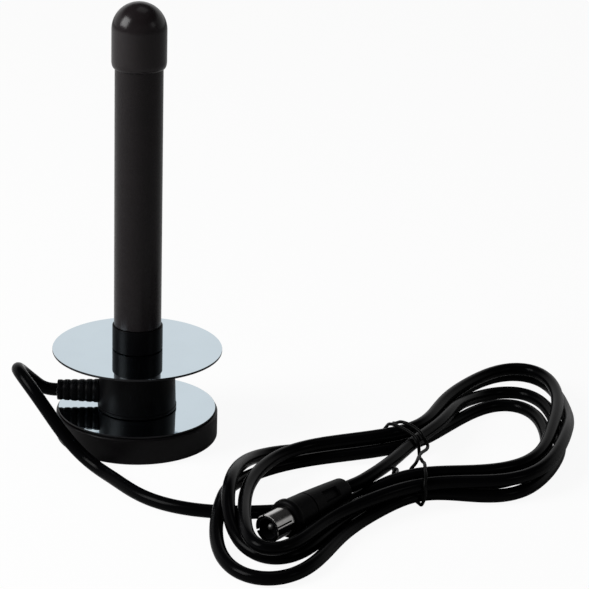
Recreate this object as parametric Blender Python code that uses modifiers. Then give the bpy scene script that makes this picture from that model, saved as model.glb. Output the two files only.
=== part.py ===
"""Desk-top rod antenna on a magnetic puck base, with its coaxial lead tied in a hank.

A standalone Blender 4.5 script. Metres, +Z up, origin at the middle of the base's underside.
The mast screws onto a stud in the hub. The lead leaves the hub through a ribbed boot, lies on
the table in a tied hank and ends in a round coaxial plug.
"""

import math

import bmesh
import bpy
import numpy as np
from mathutils import Matrix, Vector

MM = 0.001
GAP = 0.3 * MM
MERGE = 0.01 * MM
TINY = 1e-12
SMOOTH_ANGLE = math.radians(35)

# Base: a rubber pad, a ring magnet and its steel plate in a moulded puck with a mirror plate on top
BASE_RADIUS = 28.7 * MM
BASE_TOP = 10.5 * MM
BASE_EDGE = 0.7 * MM
BASE_FOOT_EDGE = 0.4 * MM
BASE_LIFT = 0.2 * MM
BASE_WALL = 2.4 * MM
BASE_WEB = 2.4 * MM
PLATE_RADIUS = 27.95 * MM
PLATE_THICK = 0.6 * MM
PAD_RADIUS = 25.2 * MM
PAD_THICK = 1.0 * MM
MAGNET_RADIUS = 24.9 * MM
MAGNET_BORE = 13.2 * MM
MAGNET_THICK = 4.0 * MM
YOKE_THICK = 1.3 * MM

# Screws that come up from under the base into the hub
SCREW_COUNT = 3
SCREW_CIRCLE = 9.4 * MM
SCREW_RADIUS = 1.3 * MM
SCREW_HEAD_RADIUS = 2.6 * MM
SCREW_HEAD_THICK = 1.9 * MM
SCREW_HEAD_EDGE = 0.6 * MM
SCREW_POINT_RADIUS = 0.5 * MM
SCREW_TIP = 18.5 * MM
SCREW_HOLE_RADIUS = SCREW_RADIUS + GAP

# Hub: a moulded drum that holds the circuit board and the mast's stud
HUB_FOOT_RADIUS = 14.0 * MM
HUB_FOOT_HEIGHT = 1.0 * MM
HUB_LOW_RADIUS = 13.8 * MM
HUB_HIGH_RADIUS = 13.3 * MM
HUB_SHOULDER = 2.6 * MM
HUB_BORE = 11.6 * MM
HUB_ROOF = 2.6 * MM
BOSS_RADIUS = 2.7 * MM
BOSS_TOP = 20.0 * MM
PILOT_TOP = 19.0 * MM
BOARD_RADIUS = 11.2 * MM
BOARD_THICK = 1.4 * MM
COIL_RADIUS = 2.6 * MM
COIL_WIRE_RADIUS = 1.2 * MM
COIL_OFFSET = 5.5 * MM

# Reflector disc, the widest piece and the one the scale is read from
DISC_RADIUS = 30.0 * MM
DISC_TOP = 32.9 * MM
DISC_THICK = 0.8 * MM

# Stud and sprung feed contact on the mast's axis
STUD_RADIUS = 4.0 * MM
STUD_TOP = 39.0 * MM
STUD_FLANGE_RADIUS = 6.4 * MM
STUD_FLANGE_THICK = 1.8 * MM
STUD_BORE = 2.7 * MM
STUD_CHAMFER = 0.5 * MM
INSULATOR_RADIUS = STUD_BORE - GAP
INSULATOR_BORE = 1.6 * MM
INSULATOR_LOW = 26.0 * MM
INSULATOR_TOP = 38.6 * MM
BARREL_RADIUS = INSULATOR_BORE - GAP
BARREL_BORE = 0.9 * MM
BARREL_FLOOR = 27.0 * MM
BARREL_TOP = 37.5 * MM
PLUNGER_RADIUS = BARREL_BORE - GAP
PLUNGER_TIP_RADIUS = 0.35 * MM
PLUNGER_LOW = 29.0 * MM
PLUNGER_TOP = 39.7 * MM

# Mast: screwed foot with its collar, tube, radiating rod with its spacer, and a domed cap
MAST_LOW = DISC_TOP + GAP
COLLAR_RADIUS = 8.9 * MM
COLLAR_TOP = 41.8 * MM
COLLAR_EDGE = 0.35 * MM
TUBE_RADIUS = 8.35 * MM
TUBE_BORE = 6.75 * MM
TUBE_TOP = 147.0 * MM
FOOT_RADIUS = TUBE_BORE - GAP
FOOT_TOP = 48.0 * MM
FOOT_THREAD_TOP = 40.5 * MM
ROD_RADIUS = 1.5 * MM
ROD_LOW = PLUNGER_TOP + GAP
ROD_TOP = 150.0 * MM
SPACER_LOW = 118.0 * MM
SPACER_TOP = 124.0 * MM
CAP_RADIUS = 9.5 * MM
CAP_LOW = 135.4 * MM
CAP_TOP = 158.2 * MM
CAP_BORE = TUBE_RADIUS + GAP
CAP_POCKET_RADIUS = 6.0 * MM
CAP_POCKET_TOP = 152.5 * MM
CAP_LIP = 0.75 * MM

# Ribbed boot on the hub's -X side, and the bared end of the cable inside the hub
BOOT_HEIGHT = 15.9 * MM
BOOT_ROOT_RADIUS = 4.3 * MM
BOOT_TIP_RADIUS = 3.6 * MM
BOOT_ROOT = 11.0 * MM
BOOT_TIP = 28.3 * MM
BOOT_RIBS = 6
BOOT_RIB_PITCH = 2.65 * MM
BOOT_RIB_WIDTH = 1.35 * MM
BOOT_RIB_DEPTH = 0.5 * MM
CORE_RADIUS = 1.5 * MM
CORE_HOLE_RADIUS = 2.0 * MM
CORE_END_OFFSET = 3.0 * MM
CORE_BEND_REACH = 1.2 * MM
CORE_BEND_RISE = 0.9 * MM
CORE_SPAN_POINTS = 3

# Plug, lying on the hank: distances along its axis from the rear face
PLUG_REAR = Vector((73.0, -64.6, 9.7)) * MM
PLUG_FRONT = Vector((48.4, -95.9, 9.5)) * MM
PLUG_REAR_RADIUS = 4.3 * MM
PLUG_GRIP_RADIUS = 6.0 * MM
PLUG_GRIP_END = 24.5 * MM
PLUG_NECK_RADIUS = 5.7 * MM
PLUG_COLLAR_RADIUS = 7.0 * MM
PLUG_COLLAR_START = 26.3 * MM
PLUG_COLLAR_END = 30.8 * MM
PLUG_ROUND = 0.9 * MM
FERRULE_RADIUS = 4.75 * MM
FERRULE_BORE = 4.1 * MM
FERRULE_SLOTS = 4
FERRULE_SLOT_WIDTH = 0.8 * MM
FERRULE_RING = 1.6 * MM
PLUG_INSULATOR_LENGTH = 4.5 * MM
PLUG_PIN_RADIUS = 1.2 * MM
PLUG_PIN_TIP_RADIUS = 0.6 * MM
PLUG_PIN_SHORT = 1.0 * MM

# Cable: the points that its middle goes through, in millimetres, from the boot to the plug
CABLE_RADIUS = 2.3 * MM
CABLE_DIAMETER = 2 * CABLE_RADIUS
TABLE_STRAND = 2.4 * MM
LEAD_MM = [
    (-28.6, 0, 15.9), (-32.9, 0, 16.5), (-36.8, -1.2, 19.7), (-40, -3.7, 24.2), (-41.9, -7.6, 27.2),
    (-41.2, -12.2, 28.2), (-38.5, -16.5, 27.3), (-34.8, -21.3, 24.3), (-30.4, -25.7, 20),
    (-26.5, -28, 15.4), (-22.9, -29.7, 10.9), (-18.8, -31.6, 6.6), (-14, -34.6, 3.6),
    (-8.5, -40.3, 2.4), (-0.6, -51, 2.4), (8, -60.5, 2.4), (17, -65.7, 2.4), (26, -68.3, 2.4),
    (36, -69, 2.4), (47, -68, 2.4), (58, -66, 2.4), (68.5, -62.8, 2.4), (77.5, -60.5, 2.9),
    (87, -56, 6),
]
# The hank's seven half turns in the order the cable runs, right and left of the tie in turn
HALF_TURNS_MM = [
    [(102.5, -48.5, 8.8), (113, -45, 7.9), (128.5, -39.5, 7.7), (139.5, -30.5, 7.7), (146, -14, 7.7),
     (151, 6.5, 7.7), (151.5, 29, 7.7), (143.5, 51, 7.7), (126, 41, 7.7), (109.8, 12.3, 7.4),
     (105.7, 0.2, 7.2), (95.5, -12, 9.2)],
    [(78, -19, 8.1), (61, -24, 7.6), (50, -37, 7.9), (43, -54, 8.4), (40, -67.5, 8.1), (40, -84, 7.9),
     (42, -101, 8.1), (46.5, -110, 7.6), (55.2, -105.6, 7.1), (66.3, -89.3, 7.3), (84, -68.5, 7.6)],
    [(105, -53, 8.6), (115, -51.5, 7.9), (132.5, -48, 7.7), (142.2, -36.2, 7.7), (149.6, -16.8, 7.9),
     (152.3, 9, 4.5), (153.5, 36, 2.4), (142.5, 57, 2.4), (125, 47.5, 2.4), (106.5, 18, 2.4),
     (102.2, 3, 2.9), (93.5, -10, 4.1)],
    [(76.5, -15.5, 2.9), (58, -16, 2.4), (45, -25, 4), (38.5, -47, 8.6), (35, -71.5, 12.8),
     (35, -79.5, 10), (37.5, -87, 5.5), (43, -98, 2.6), (51, -105, 2.4), (61.5, -98.5, 2.4),
     (79.5, -68.5, 2.9)],
    [(101, -46.5, 4.1), (113, -44.5, 2.7), (128.5, -39, 2.4), (140, -27.5, 2.4), (147, -7, 2.4),
     (147, 7, 2.4), (144.5, 20, 2.4), (137, 31, 2.4), (128.5, 28, 2.4), (112.3, 12, 2.4),
     (103, -2, 2.9), (97, -14, 4.1)],
    [(79, -19.5, 2.9), (63, -24.5, 2.4), (49, -33, 2.4), (36.5, -48.5, 2.7), (34, -78, 7.7),
     (33, -89, 5), (36.5, -108.5, 2.4), (48.5, -119, 2.4), (60.5, -110.5, 2.4), (73, -86.5, 2.4),
     (88, -58.5, 3.1)],
    [(104, -51, 4.1), (115, -52, 2.7), (130, -51, 2.4), (141.5, -32.5, 2.4), (150, -12, 2.4),
     (151, 8.5, 2.4), (148, 30.5, 2.4), (140, 41.5, 2.4), (128, 36, 2.4), (112.5, 13.5, 4.6),
     (107.5, -3.5, 7.4), (99, -16, 9)],
]
TAIL_MM = [(95.6, -25.5, 8.6), (92.1, -36.5, 8.9), (86.6, -46.5, 9.2), (80.1, -56, 9.5), (73.2, -64.3, 9.7)]
SPLINE_KNOT_POWER = 0.75
SPLINE_SPAN_POINTS = 14
EASE_STEP = 3.0 * MM
EASE_ROUNDS = 600
EASE_CLEAR = 5.3 * MM
EASE_BEND = 12.0 * MM
EASE_HELD_ENDS = 4
EASE_PULL = 0.02
EASE_STRAIGHTEN = 0.15
EASE_SHARE = 0.3
EASE_SPACING = 0.3
EASE_LOOK_ROUNDS = 15
NEIGHBOUR_REACH = 3.2 * CABLE_DIAMETER
GAP_SAMPLE = 1.0 * MM
TUBE_BOW = 0.1 * MM
LEAD_CHORD = 9.0 * MM
HANK_CHORD = 11.0 * MM
LEAD_SIDES_STEP = 2
HANK_SIDES_STEP = 1

# Wire tie: it goes round two bundles, each a place and the heading straight out from the hank's middle
TIE_RADIUS = 0.6 * MM
TIE_CLEAR = CABLE_RADIUS + TIE_RADIUS + 0.5 * MM
TIE_LIFT = 1.7 * MM
TIE_LIFT_REACH = 22.0 * MM
TIE_LIFT_SLOPE = 1.3
TIE_REACH = 9.5 * MM
TIE_TURN_STEP = 30
TIE_UPPER = (93.9, -15.8, 130)
TIE_LOWER = (97.3, -50.2, -58)
# Where each wrap starts and ends, as (degrees round the bundle, millimetres along it)
TIE_OVER_UPPER = ((45, -3.6), (140, 0.2))
TIE_ROUND_LOWER = ((135, 1.0), (-120, -4.5))
TIE_ROUND_UPPER = ((270, 2.0), (500, 1.8))
TIE_OVER_LOWER = ((135, 4.4), (-75, -1.4))
TIE_SPAN_POINTS = 2
TIE_LOOSE_END_MM = [(91.0, -4.6, 9.6)]
TIE_FIRST_CROSSING_MM = [(103.0, -21.4, 7.4), (100.7, -28.8, 7.0)]
TIE_LEFT_CROSSING_MM = [(92.0, -36.5, 4.2), (91.4, -25.5, 1.0)]
TIE_SECOND_CROSSING_MM = [(101.1, -23.0, 5.8), (100.5, -28.8, 5.0)]

# Facets round each kind of piece, and steps along its rounded edges
ROUND_STEPS = 40
SMALL_STEPS = 20
WIRE_STEPS = 12
DISC_STEPS = 64
MEDIUM_STEPS = 28
COIL_SIDES = 8
EDGE_ARC = 2
SHOULDER_ARC = 4
DOME_ARC = 8


def clear_scene():
    """Remove every object that the file holds."""
    for obj in list(bpy.data.objects):
        bpy.data.objects.remove(obj, do_unlink=True)


def new_collection(name):
    """Make a collection under the scene's own."""
    collection = bpy.data.collections.new(name)
    bpy.context.scene.collection.children.link(collection)
    return collection


def material(name, colour, roughness, metallic=0.0):
    """A Principled material of one colour."""
    made = bpy.data.materials.new(name)
    made.use_nodes = True
    shader = made.node_tree.nodes["Principled BSDF"]
    shader.inputs["Base Color"].default_value = (*colour, 1.0)
    shader.inputs["Roughness"].default_value = roughness
    shader.inputs["Metallic"].default_value = metallic
    return made


def arc(centre, radius, start, end, count):
    """Points (radius, height) on an arc, angles in degrees from the +radius direction."""
    turns = [math.radians(start + (end - start) * k / count) for k in range(count + 1)]
    return [(centre[0] + radius * math.cos(t), centre[1] + radius * math.sin(t)) for t in turns]


def add_object(name, mesh, collection, finish):
    """Put a mesh in the scene, shaded smooth up to its sharp edges."""
    mesh.shade_smooth()
    mesh.set_sharp_from_angle(angle=SMOOTH_ANGLE)
    obj = bpy.data.objects.new(name, mesh)
    collection.objects.link(obj)
    if finish is not None:
        mesh.materials.append(finish)
    return obj


def turned(name, profile, collection, finish, steps=ROUND_STEPS, closed=False):
    """Turn a profile of (radius, height) about Z. A closed profile makes a ring."""
    rough = bpy.data.meshes.new(name + "_profile")
    count = len(profile)
    edges = [(k, k + 1) for k in range(count - 1)]
    if closed:
        edges.append((count - 1, 0))
    rough.from_pydata([(r, 0.0, z) for r, z in profile], edges, [])
    guide = bpy.data.objects.new(name + "_turn", rough)
    collection.objects.link(guide)
    turn = guide.modifiers.new("Turn", "SCREW")
    turn.axis = "Z"
    turn.angle = math.tau
    turn.steps = steps
    turn.render_steps = steps
    turn.use_merge_vertices = True
    turn.merge_threshold = MERGE
    graph = bpy.context.evaluated_depsgraph_get()
    mesh = bpy.data.meshes.new_from_object(guide.evaluated_get(graph))
    mesh.name = name
    bpy.data.objects.remove(guide, do_unlink=True)
    outward(mesh)
    return add_object(name, mesh, collection, finish)


def outward(mesh):
    """Merge doubled points and turn every face of a closed mesh outwards."""
    work = bmesh.new()
    work.from_mesh(mesh)
    bmesh.ops.remove_doubles(work, verts=work.verts, dist=MERGE)
    bmesh.ops.recalc_face_normals(work, faces=work.faces)
    work.to_mesh(mesh)
    work.free()


def cylinder(name, radius, low, high, collection, finish=None, steps=SMALL_STEPS):
    """A capped cylinder along Z between two heights."""
    work = bmesh.new()
    middle = Matrix.Translation((0.0, 0.0, (low + high) / 2))
    bmesh.ops.create_cone(
        work, cap_ends=True, segments=steps, radius1=radius, radius2=radius, depth=high - low, matrix=middle
    )
    mesh = bpy.data.meshes.new(name)
    work.to_mesh(mesh)
    work.free()
    return add_object(name, mesh, collection, finish)


def block(name, size, centre, collection):
    """A box of the given size about a centre."""
    work = bmesh.new()
    bmesh.ops.create_cube(work, size=1.0, matrix=Matrix.Translation(centre) @ Matrix.Diagonal((*size, 1.0)))
    mesh = bpy.data.meshes.new(name)
    work.to_mesh(mesh)
    work.free()
    return add_object(name, mesh, collection, None)


def hide_cutter(cutter):
    """Show a cutter as wires and keep it out of the model."""
    cutter.hide_render = True
    cutter.display_type = "WIRE"


def combine(obj, other, operation):
    """Add a Boolean of another object to this one."""
    step = obj.modifiers.new(operation.title() + "_" + other.name, "BOOLEAN")
    step.operation = operation
    step.solver = "EXACT"
    step.object = other
    hide_cutter(other)


def tube(name, points, radius, collection, finish, sides_step):
    """A capped round tube through points, with 4 + 2 * sides_step sides."""
    curve = bpy.data.curves.new(name, "CURVE")
    curve.dimensions = "3D"
    curve.bevel_depth = radius
    curve.bevel_resolution = sides_step
    curve.use_fill_caps = True
    spline = curve.splines.new("POLY")
    spline.points.add(len(points) - 1)
    for point, place in zip(spline.points, points):
        point.co = (*place, 1.0)
    spline.use_smooth = True
    obj = bpy.data.objects.new(name, curve)
    curve.materials.append(finish)
    collection.objects.link(obj)
    return obj


def ring_profile(outer, bore, low, high):
    """Closed profile of a plain ring, outer side first."""
    return [(outer, high), (outer, low), (bore, low), (bore, high)]


def build_base(parts, cutters, finishes):
    """Pad, magnet, steel plate, moulded puck and mirror plate."""
    cylinder("base_pad", PAD_RADIUS, 0.0, PAD_THICK, parts, finishes["rubber"], ROUND_STEPS)
    magnet_low = PAD_THICK + GAP
    magnet_high = magnet_low + MAGNET_THICK
    yoke_low = magnet_high + GAP
    yoke_high = yoke_low + YOKE_THICK
    magnet = ring_profile(MAGNET_RADIUS, MAGNET_BORE, magnet_low, magnet_high)
    turned("base_magnet", magnet, parts, finishes["ferrite"], closed=True)
    yoke = ring_profile(MAGNET_RADIUS, MAGNET_BORE, yoke_low, yoke_high)
    turned("magnet_yoke", yoke, parts, finishes["steel"], closed=True)

    web_low = yoke_high + GAP
    web_high = web_low + BASE_WEB
    bore = BASE_RADIUS - BASE_WALL
    edge = BASE_RADIUS - BASE_EDGE
    profile = [(0.0, web_high)]
    profile += arc((edge, web_high - BASE_EDGE), BASE_EDGE, 90, 0, EDGE_ARC)
    foot = (BASE_RADIUS - BASE_FOOT_EDGE, BASE_LIFT + BASE_FOOT_EDGE)
    profile += arc(foot, BASE_FOOT_EDGE, 0, -90, EDGE_ARC)
    profile += [(bore, BASE_LIFT), (bore, web_low), (0.0, web_low)]
    housing = turned("base_housing", profile, parts, finishes["base"], ROUND_STEPS)
    plate = cylinder(
        "base_plate", PLATE_RADIUS, BASE_TOP - PLATE_THICK, BASE_TOP, parts, finishes["mirror"], ROUND_STEPS
    )
    for number, place in enumerate(screw_places(), 1):
        hole = cylinder(f"base_screw_hole_{number}", SCREW_HOLE_RADIUS, 0.0, BASE_TOP + BASE_WEB, cutters)
        hole.location = place
        combine(housing, hole, "DIFFERENCE")
        combine(plate, hole, "DIFFERENCE")
    build_screws(parts, finishes, web_low - GAP)


def screw_places():
    """Where the base screws stand, spread evenly from the +X side."""
    turns = [math.tau * k / SCREW_COUNT for k in range(SCREW_COUNT)]
    return [Vector((SCREW_CIRCLE * math.cos(t), SCREW_CIRCLE * math.sin(t), 0.0)) for t in turns]


def build_screws(parts, finishes, seat):
    """Pan-head screws whose heads sit under the puck's web."""
    head_low = seat - SCREW_HEAD_THICK
    profile = [
        (0.0, SCREW_TIP), (SCREW_POINT_RADIUS, SCREW_TIP), (SCREW_RADIUS, SCREW_TIP - SCREW_RADIUS),
        (SCREW_RADIUS, seat), (SCREW_HEAD_RADIUS, seat), (SCREW_HEAD_RADIUS, head_low + SCREW_HEAD_EDGE),
        (SCREW_HEAD_RADIUS - SCREW_HEAD_EDGE, head_low), (0.0, head_low),
    ]
    for number, place in enumerate(screw_places(), 1):
        screw = turned(f"base_screw_{number}", profile, parts, finishes["steel"], WIRE_STEPS)
        screw.location = place


def build_hub(parts, cutters, finishes):
    """Moulded drum with screw bosses and a cable hole, and the parts it holds."""
    low = BASE_TOP + GAP
    high = DISC_TOP - DISC_THICK - GAP
    foot = low + HUB_FOOT_HEIGHT
    shoulder = (HUB_HIGH_RADIUS - HUB_SHOULDER, high - HUB_SHOULDER)
    hole = STUD_RADIUS + GAP
    profile = arc(shoulder, HUB_SHOULDER, 90, 0, SHOULDER_ARC)
    profile += [(HUB_LOW_RADIUS, foot), (HUB_FOOT_RADIUS, foot), (HUB_FOOT_RADIUS, low), (HUB_BORE, low)]
    profile += [(HUB_BORE, high - HUB_ROOF), (hole, high - HUB_ROOF), (hole, high)]
    hub = turned("hub_housing", profile, parts, finishes["hub"], closed=True)
    for number, place in enumerate(screw_places(), 1):
        boss = cylinder(f"hub_boss_{number}", BOSS_RADIUS, low, BOSS_TOP, cutters, None, WIRE_STEPS)
        boss.location = place
        combine(hub, boss, "UNION")
    for number, place in enumerate(screw_places(), 1):
        pilot = cylinder(f"hub_pilot_{number}", SCREW_HOLE_RADIUS, 0.0, PILOT_TOP, cutters, None, WIRE_STEPS)
        pilot.location = place
        combine(hub, pilot, "DIFFERENCE")
    gland = cylinder("hub_cable_hole", CORE_HOLE_RADIUS, HUB_BORE - BOSS_RADIUS, BASE_RADIUS, cutters)
    gland.matrix_world = towards_minus_x()
    combine(hub, gland, "DIFFERENCE")

    board_low = BOSS_TOP + GAP
    board_high = board_low + BOARD_THICK
    cylinder("circuit_board", BOARD_RADIUS, board_low, board_high, parts, finishes["board"], ROUND_STEPS)
    bpy.ops.mesh.primitive_torus_add(
        major_radius=COIL_RADIUS, minor_radius=COIL_WIRE_RADIUS,
        major_segments=SMALL_STEPS, minor_segments=COIL_SIDES,
        location=(COIL_OFFSET, 0.0, board_high + GAP + COIL_WIRE_RADIUS),
    )
    coil = bpy.context.object
    coil.name = "matching_coil"
    for owner in list(coil.users_collection):
        owner.objects.unlink(coil)
    parts.objects.link(coil)
    coil.data.shade_smooth()
    coil.data.materials.append(finishes["copper"])
    build_core(parts, finishes, board_low - GAP)


def towards_minus_x():
    """Frame on the boot's axis, with local +Z pointing out along -X."""
    return Matrix.Translation((0.0, 0.0, BOOT_HEIGHT)) @ Matrix.Rotation(-math.pi / 2, 4, "Y")


def build_core(parts, finishes, end):
    """Bared end of the cable, from the boot through the hub's wall and up to the board."""
    wall = -HUB_LOW_RADIUS
    bend = -CORE_END_OFFSET
    points = natural_spline(
        np.array([
            (wall, 0.0, BOOT_HEIGHT), (wall * 3 / 4, 0.0, BOOT_HEIGHT), (wall / 2, 0.0, BOOT_HEIGHT),
            (bend - CORE_BEND_REACH, 0.0, BOOT_HEIGHT + CORE_BEND_RISE), (bend, 0.0, end - CORE_BEND_RISE),
            (bend, 0.0, end),
        ]), CORE_SPAN_POINTS)
    tube("cable_core", points, CORE_RADIUS, parts, finishes["dielectric"], LEAD_SIDES_STEP)


def build_boot(parts, cutters, finishes):
    """Tapered boot with ribs, hollowed at its root to sit against the round hub."""
    def taper(along):
        share = (along - BOOT_ROOT) / (BOOT_TIP - BOOT_ROOT)
        return BOOT_ROOT_RADIUS + (BOOT_TIP_RADIUS - BOOT_ROOT_RADIUS) * share

    profile = [(0.0, BOOT_TIP)]
    for rib in range(BOOT_RIBS):
        crest_out = BOOT_TIP - rib * BOOT_RIB_PITCH
        crest_in = crest_out - BOOT_RIB_WIDTH
        groove_in = crest_out - BOOT_RIB_PITCH
        profile += [(taper(crest_out), crest_out), (taper(crest_in), crest_in)]
        profile += [(taper(z) - BOOT_RIB_DEPTH, z) for z in (crest_in - GAP, groove_in + GAP)]
    profile += [(taper(groove_in), groove_in), (BOOT_ROOT_RADIUS, BOOT_ROOT), (0.0, BOOT_ROOT)]
    boot = turned("cable_boot", profile, parts, finishes["boot"], SMALL_STEPS)
    boot.matrix_world = towards_minus_x()
    seat = cylinder("boot_seat", HUB_LOW_RADIUS + GAP, 0.0, DISC_TOP, cutters, None, ROUND_STEPS)
    combine(boot, seat, "DIFFERENCE")


def build_disc_and_stud(parts, finishes):
    """Reflector disc, and the stud and fixed half of the feed contact under it."""
    hole = STUD_RADIUS + GAP
    disc = ring_profile(DISC_RADIUS, hole, DISC_TOP - DISC_THICK, DISC_TOP)
    turned("reflector_disc", disc, parts, finishes["mirror"], DISC_STEPS, closed=True)
    flange_high = DISC_TOP - DISC_THICK - 2 * GAP - HUB_ROOF
    flange_low = flange_high - STUD_FLANGE_THICK
    stud = [
        (STUD_RADIUS - STUD_CHAMFER, STUD_TOP), (STUD_RADIUS, STUD_TOP - STUD_CHAMFER),
        (STUD_RADIUS, flange_high), (STUD_FLANGE_RADIUS, flange_high), (STUD_FLANGE_RADIUS, flange_low),
        (STUD_BORE, flange_low), (STUD_BORE, STUD_TOP),
    ]
    turned("hub_stud", stud, parts, finishes["brass"], MEDIUM_STEPS, closed=True)
    sleeve = ring_profile(INSULATOR_RADIUS, INSULATOR_BORE, INSULATOR_LOW, INSULATOR_TOP)
    turned("feed_insulator", sleeve, parts, finishes["dielectric"], SMALL_STEPS, closed=True)
    barrel_low = BOSS_TOP + BOARD_THICK + 2 * GAP
    barrel = [
        (0.0, BARREL_FLOOR), (BARREL_BORE, BARREL_FLOOR), (BARREL_BORE, BARREL_TOP),
        (BARREL_RADIUS, BARREL_TOP), (BARREL_RADIUS, barrel_low), (0.0, barrel_low),
    ]
    turned("feed_barrel", barrel, parts, finishes["brass"], WIRE_STEPS)


def build_mast(parts, finishes):
    """Everything that turns off the stud, and the sprung plunger that follows it up."""
    plunger = [(0.0, PLUNGER_TOP), (PLUNGER_TIP_RADIUS, PLUNGER_TOP)]
    plunger += [(PLUNGER_RADIUS, PLUNGER_TOP - PLUNGER_RADIUS), (PLUNGER_RADIUS, PLUNGER_LOW)]
    plunger += [(0.0, PLUNGER_LOW)]
    turned("feed_plunger", plunger, parts, finishes["brass"], WIRE_STEPS)

    thread = STUD_RADIUS + GAP
    rod_hole = ROD_RADIUS + GAP
    rim = COLLAR_RADIUS - COLLAR_EDGE
    foot = [(FOOT_RADIUS, FOOT_TOP), (FOOT_RADIUS, COLLAR_TOP)]
    foot += arc((rim, COLLAR_TOP - COLLAR_EDGE), COLLAR_EDGE, 90, 0, EDGE_ARC)
    foot += arc((rim, MAST_LOW + COLLAR_EDGE), COLLAR_EDGE, 0, -90, EDGE_ARC)
    foot += [(thread, MAST_LOW), (thread, FOOT_THREAD_TOP), (rod_hole, FOOT_THREAD_TOP), (rod_hole, FOOT_TOP)]
    turned("mast_foot", foot, parts, finishes["foot"], ROUND_STEPS, closed=True)
    wall = ring_profile(TUBE_RADIUS, TUBE_BORE, COLLAR_TOP + GAP, TUBE_TOP)
    turned("mast_tube", wall, parts, finishes["tube"], ROUND_STEPS, closed=True)
    cylinder("radiator_rod", ROD_RADIUS, ROD_LOW, ROD_TOP, parts, finishes["brass"], WIRE_STEPS)
    spacer = ring_profile(FOOT_RADIUS, rod_hole, SPACER_LOW, SPACER_TOP)
    turned("rod_spacer", spacer, parts, finishes["foam"], SMALL_STEPS, closed=True)

    seat = TUBE_TOP + GAP
    cap = arc((0.0, CAP_TOP - CAP_RADIUS), CAP_RADIUS, 90, 0, DOME_ARC)
    cap += arc((CAP_RADIUS - CAP_LIP, CAP_LOW + CAP_LIP), CAP_LIP, 0, -90, EDGE_ARC)
    cap += [(CAP_BORE, CAP_LOW), (CAP_BORE, seat), (CAP_POCKET_RADIUS, seat)]
    cap += [(CAP_POCKET_RADIUS, CAP_POCKET_TOP), (0.0, CAP_POCKET_TOP)]
    cap[0] = (0.0, CAP_TOP)
    turned("mast_cap", cap, parts, finishes["cap"], ROUND_STEPS)


def plug_frame():
    """Frame at the plug's rear face, with local +Z towards its mating end."""
    along = (PLUG_FRONT - PLUG_REAR).normalized()
    return Matrix.Translation(PLUG_REAR) @ along.to_track_quat("Z", "Y").to_matrix().to_4x4()


def build_plug(parts, cutters, finishes):
    """Moulded grip and collar, slotted outer contact, insulator and centre pin."""
    frame = plug_frame()
    length = (PLUG_FRONT - PLUG_REAR).length
    body = [(0.0, PLUG_COLLAR_END)]
    body += arc((PLUG_COLLAR_RADIUS - PLUG_ROUND, PLUG_COLLAR_END - PLUG_ROUND), PLUG_ROUND, 90, 0, EDGE_ARC)
    body += [(PLUG_COLLAR_RADIUS, PLUG_COLLAR_START), (PLUG_NECK_RADIUS, PLUG_COLLAR_START)]
    body += [(PLUG_NECK_RADIUS, PLUG_GRIP_END), (PLUG_GRIP_RADIUS, PLUG_GRIP_END)]
    body += arc((PLUG_REAR_RADIUS - PLUG_ROUND, PLUG_ROUND), PLUG_ROUND, 0, -90, EDGE_ARC)
    body += [(0.0, 0.0)]
    grip = turned("plug_body", body, parts, finishes["plug"], MEDIUM_STEPS)

    seat = PLUG_COLLAR_END + GAP
    shell = ring_profile(FERRULE_RADIUS, FERRULE_BORE, seat, length)
    ferrule = turned("plug_ferrule", shell, parts, finishes["nickel"], MEDIUM_STEPS, closed=True)
    core = ring_profile(FERRULE_BORE - GAP, PLUG_PIN_RADIUS + GAP, seat, seat + PLUG_INSULATOR_LENGTH)
    insulator = turned("plug_insulator", core, parts, finishes["insulator"], SMALL_STEPS, closed=True)
    tip = length - PLUG_PIN_SHORT
    point = [(0.0, tip), (PLUG_PIN_TIP_RADIUS, tip), (PLUG_PIN_RADIUS, tip - PLUG_PIN_RADIUS)]
    point += [(PLUG_PIN_RADIUS, seat), (0.0, seat)]
    pin = turned("plug_pin", point, parts, finishes["nickel"], WIRE_STEPS)
    for piece in (grip, ferrule, insulator, pin):
        piece.matrix_world = frame

    slot_low = seat + FERRULE_RING
    size = (4 * FERRULE_RADIUS, FERRULE_SLOT_WIDTH, length - slot_low + CABLE_RADIUS)
    for number in range(FERRULE_SLOTS // 2):
        slot = block(f"ferrule_slot_{number + 1}", size, (0.0, 0.0, slot_low + size[2] / 2), cutters)
        slot.matrix_world = frame @ Matrix.Rotation(math.pi * number / 2, 4, "Z")
        combine(ferrule, slot, "DIFFERENCE")


def natural_spline(points, per_span):
    """Points on the natural cubic spline through the given ones."""
    count = len(points)
    span = np.linalg.norm(np.diff(points, axis=0), axis=1) ** SPLINE_KNOT_POWER
    system = np.eye(count)
    right = np.zeros((count, 3))
    for k in range(1, count - 1):
        system[k, k - 1:k + 2] = span[k - 1], 2 * (span[k - 1] + span[k]), span[k]
        right[k] = 6 * ((points[k + 1] - points[k]) / span[k] - (points[k] - points[k - 1]) / span[k - 1])
    bend = np.linalg.solve(system, right)
    found = []
    for k in range(count - 1):
        for step in range(per_span):
            t = step / per_span
            s = 1 - t
            curve = (s ** 3 - s) * bend[k] + (t ** 3 - t) * bend[k + 1]
            found.append(s * points[k] + t * points[k + 1] + span[k] ** 2 / 6 * curve)
    found.append(points[-1])
    return np.array(found)


def lengths_along(points):
    """Distance from the first point to each one, along the line."""
    return np.concatenate([[0.0], np.cumsum(np.linalg.norm(np.diff(points, axis=0), axis=1))])


def evenly(points, step):
    """The same line with points about a step apart."""
    along = lengths_along(points)
    wanted = np.linspace(0.0, along[-1], int(round(along[-1] / step)) + 1)
    return np.stack([np.interp(wanted, along, points[:, axis]) for axis in range(3)], 1)


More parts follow.
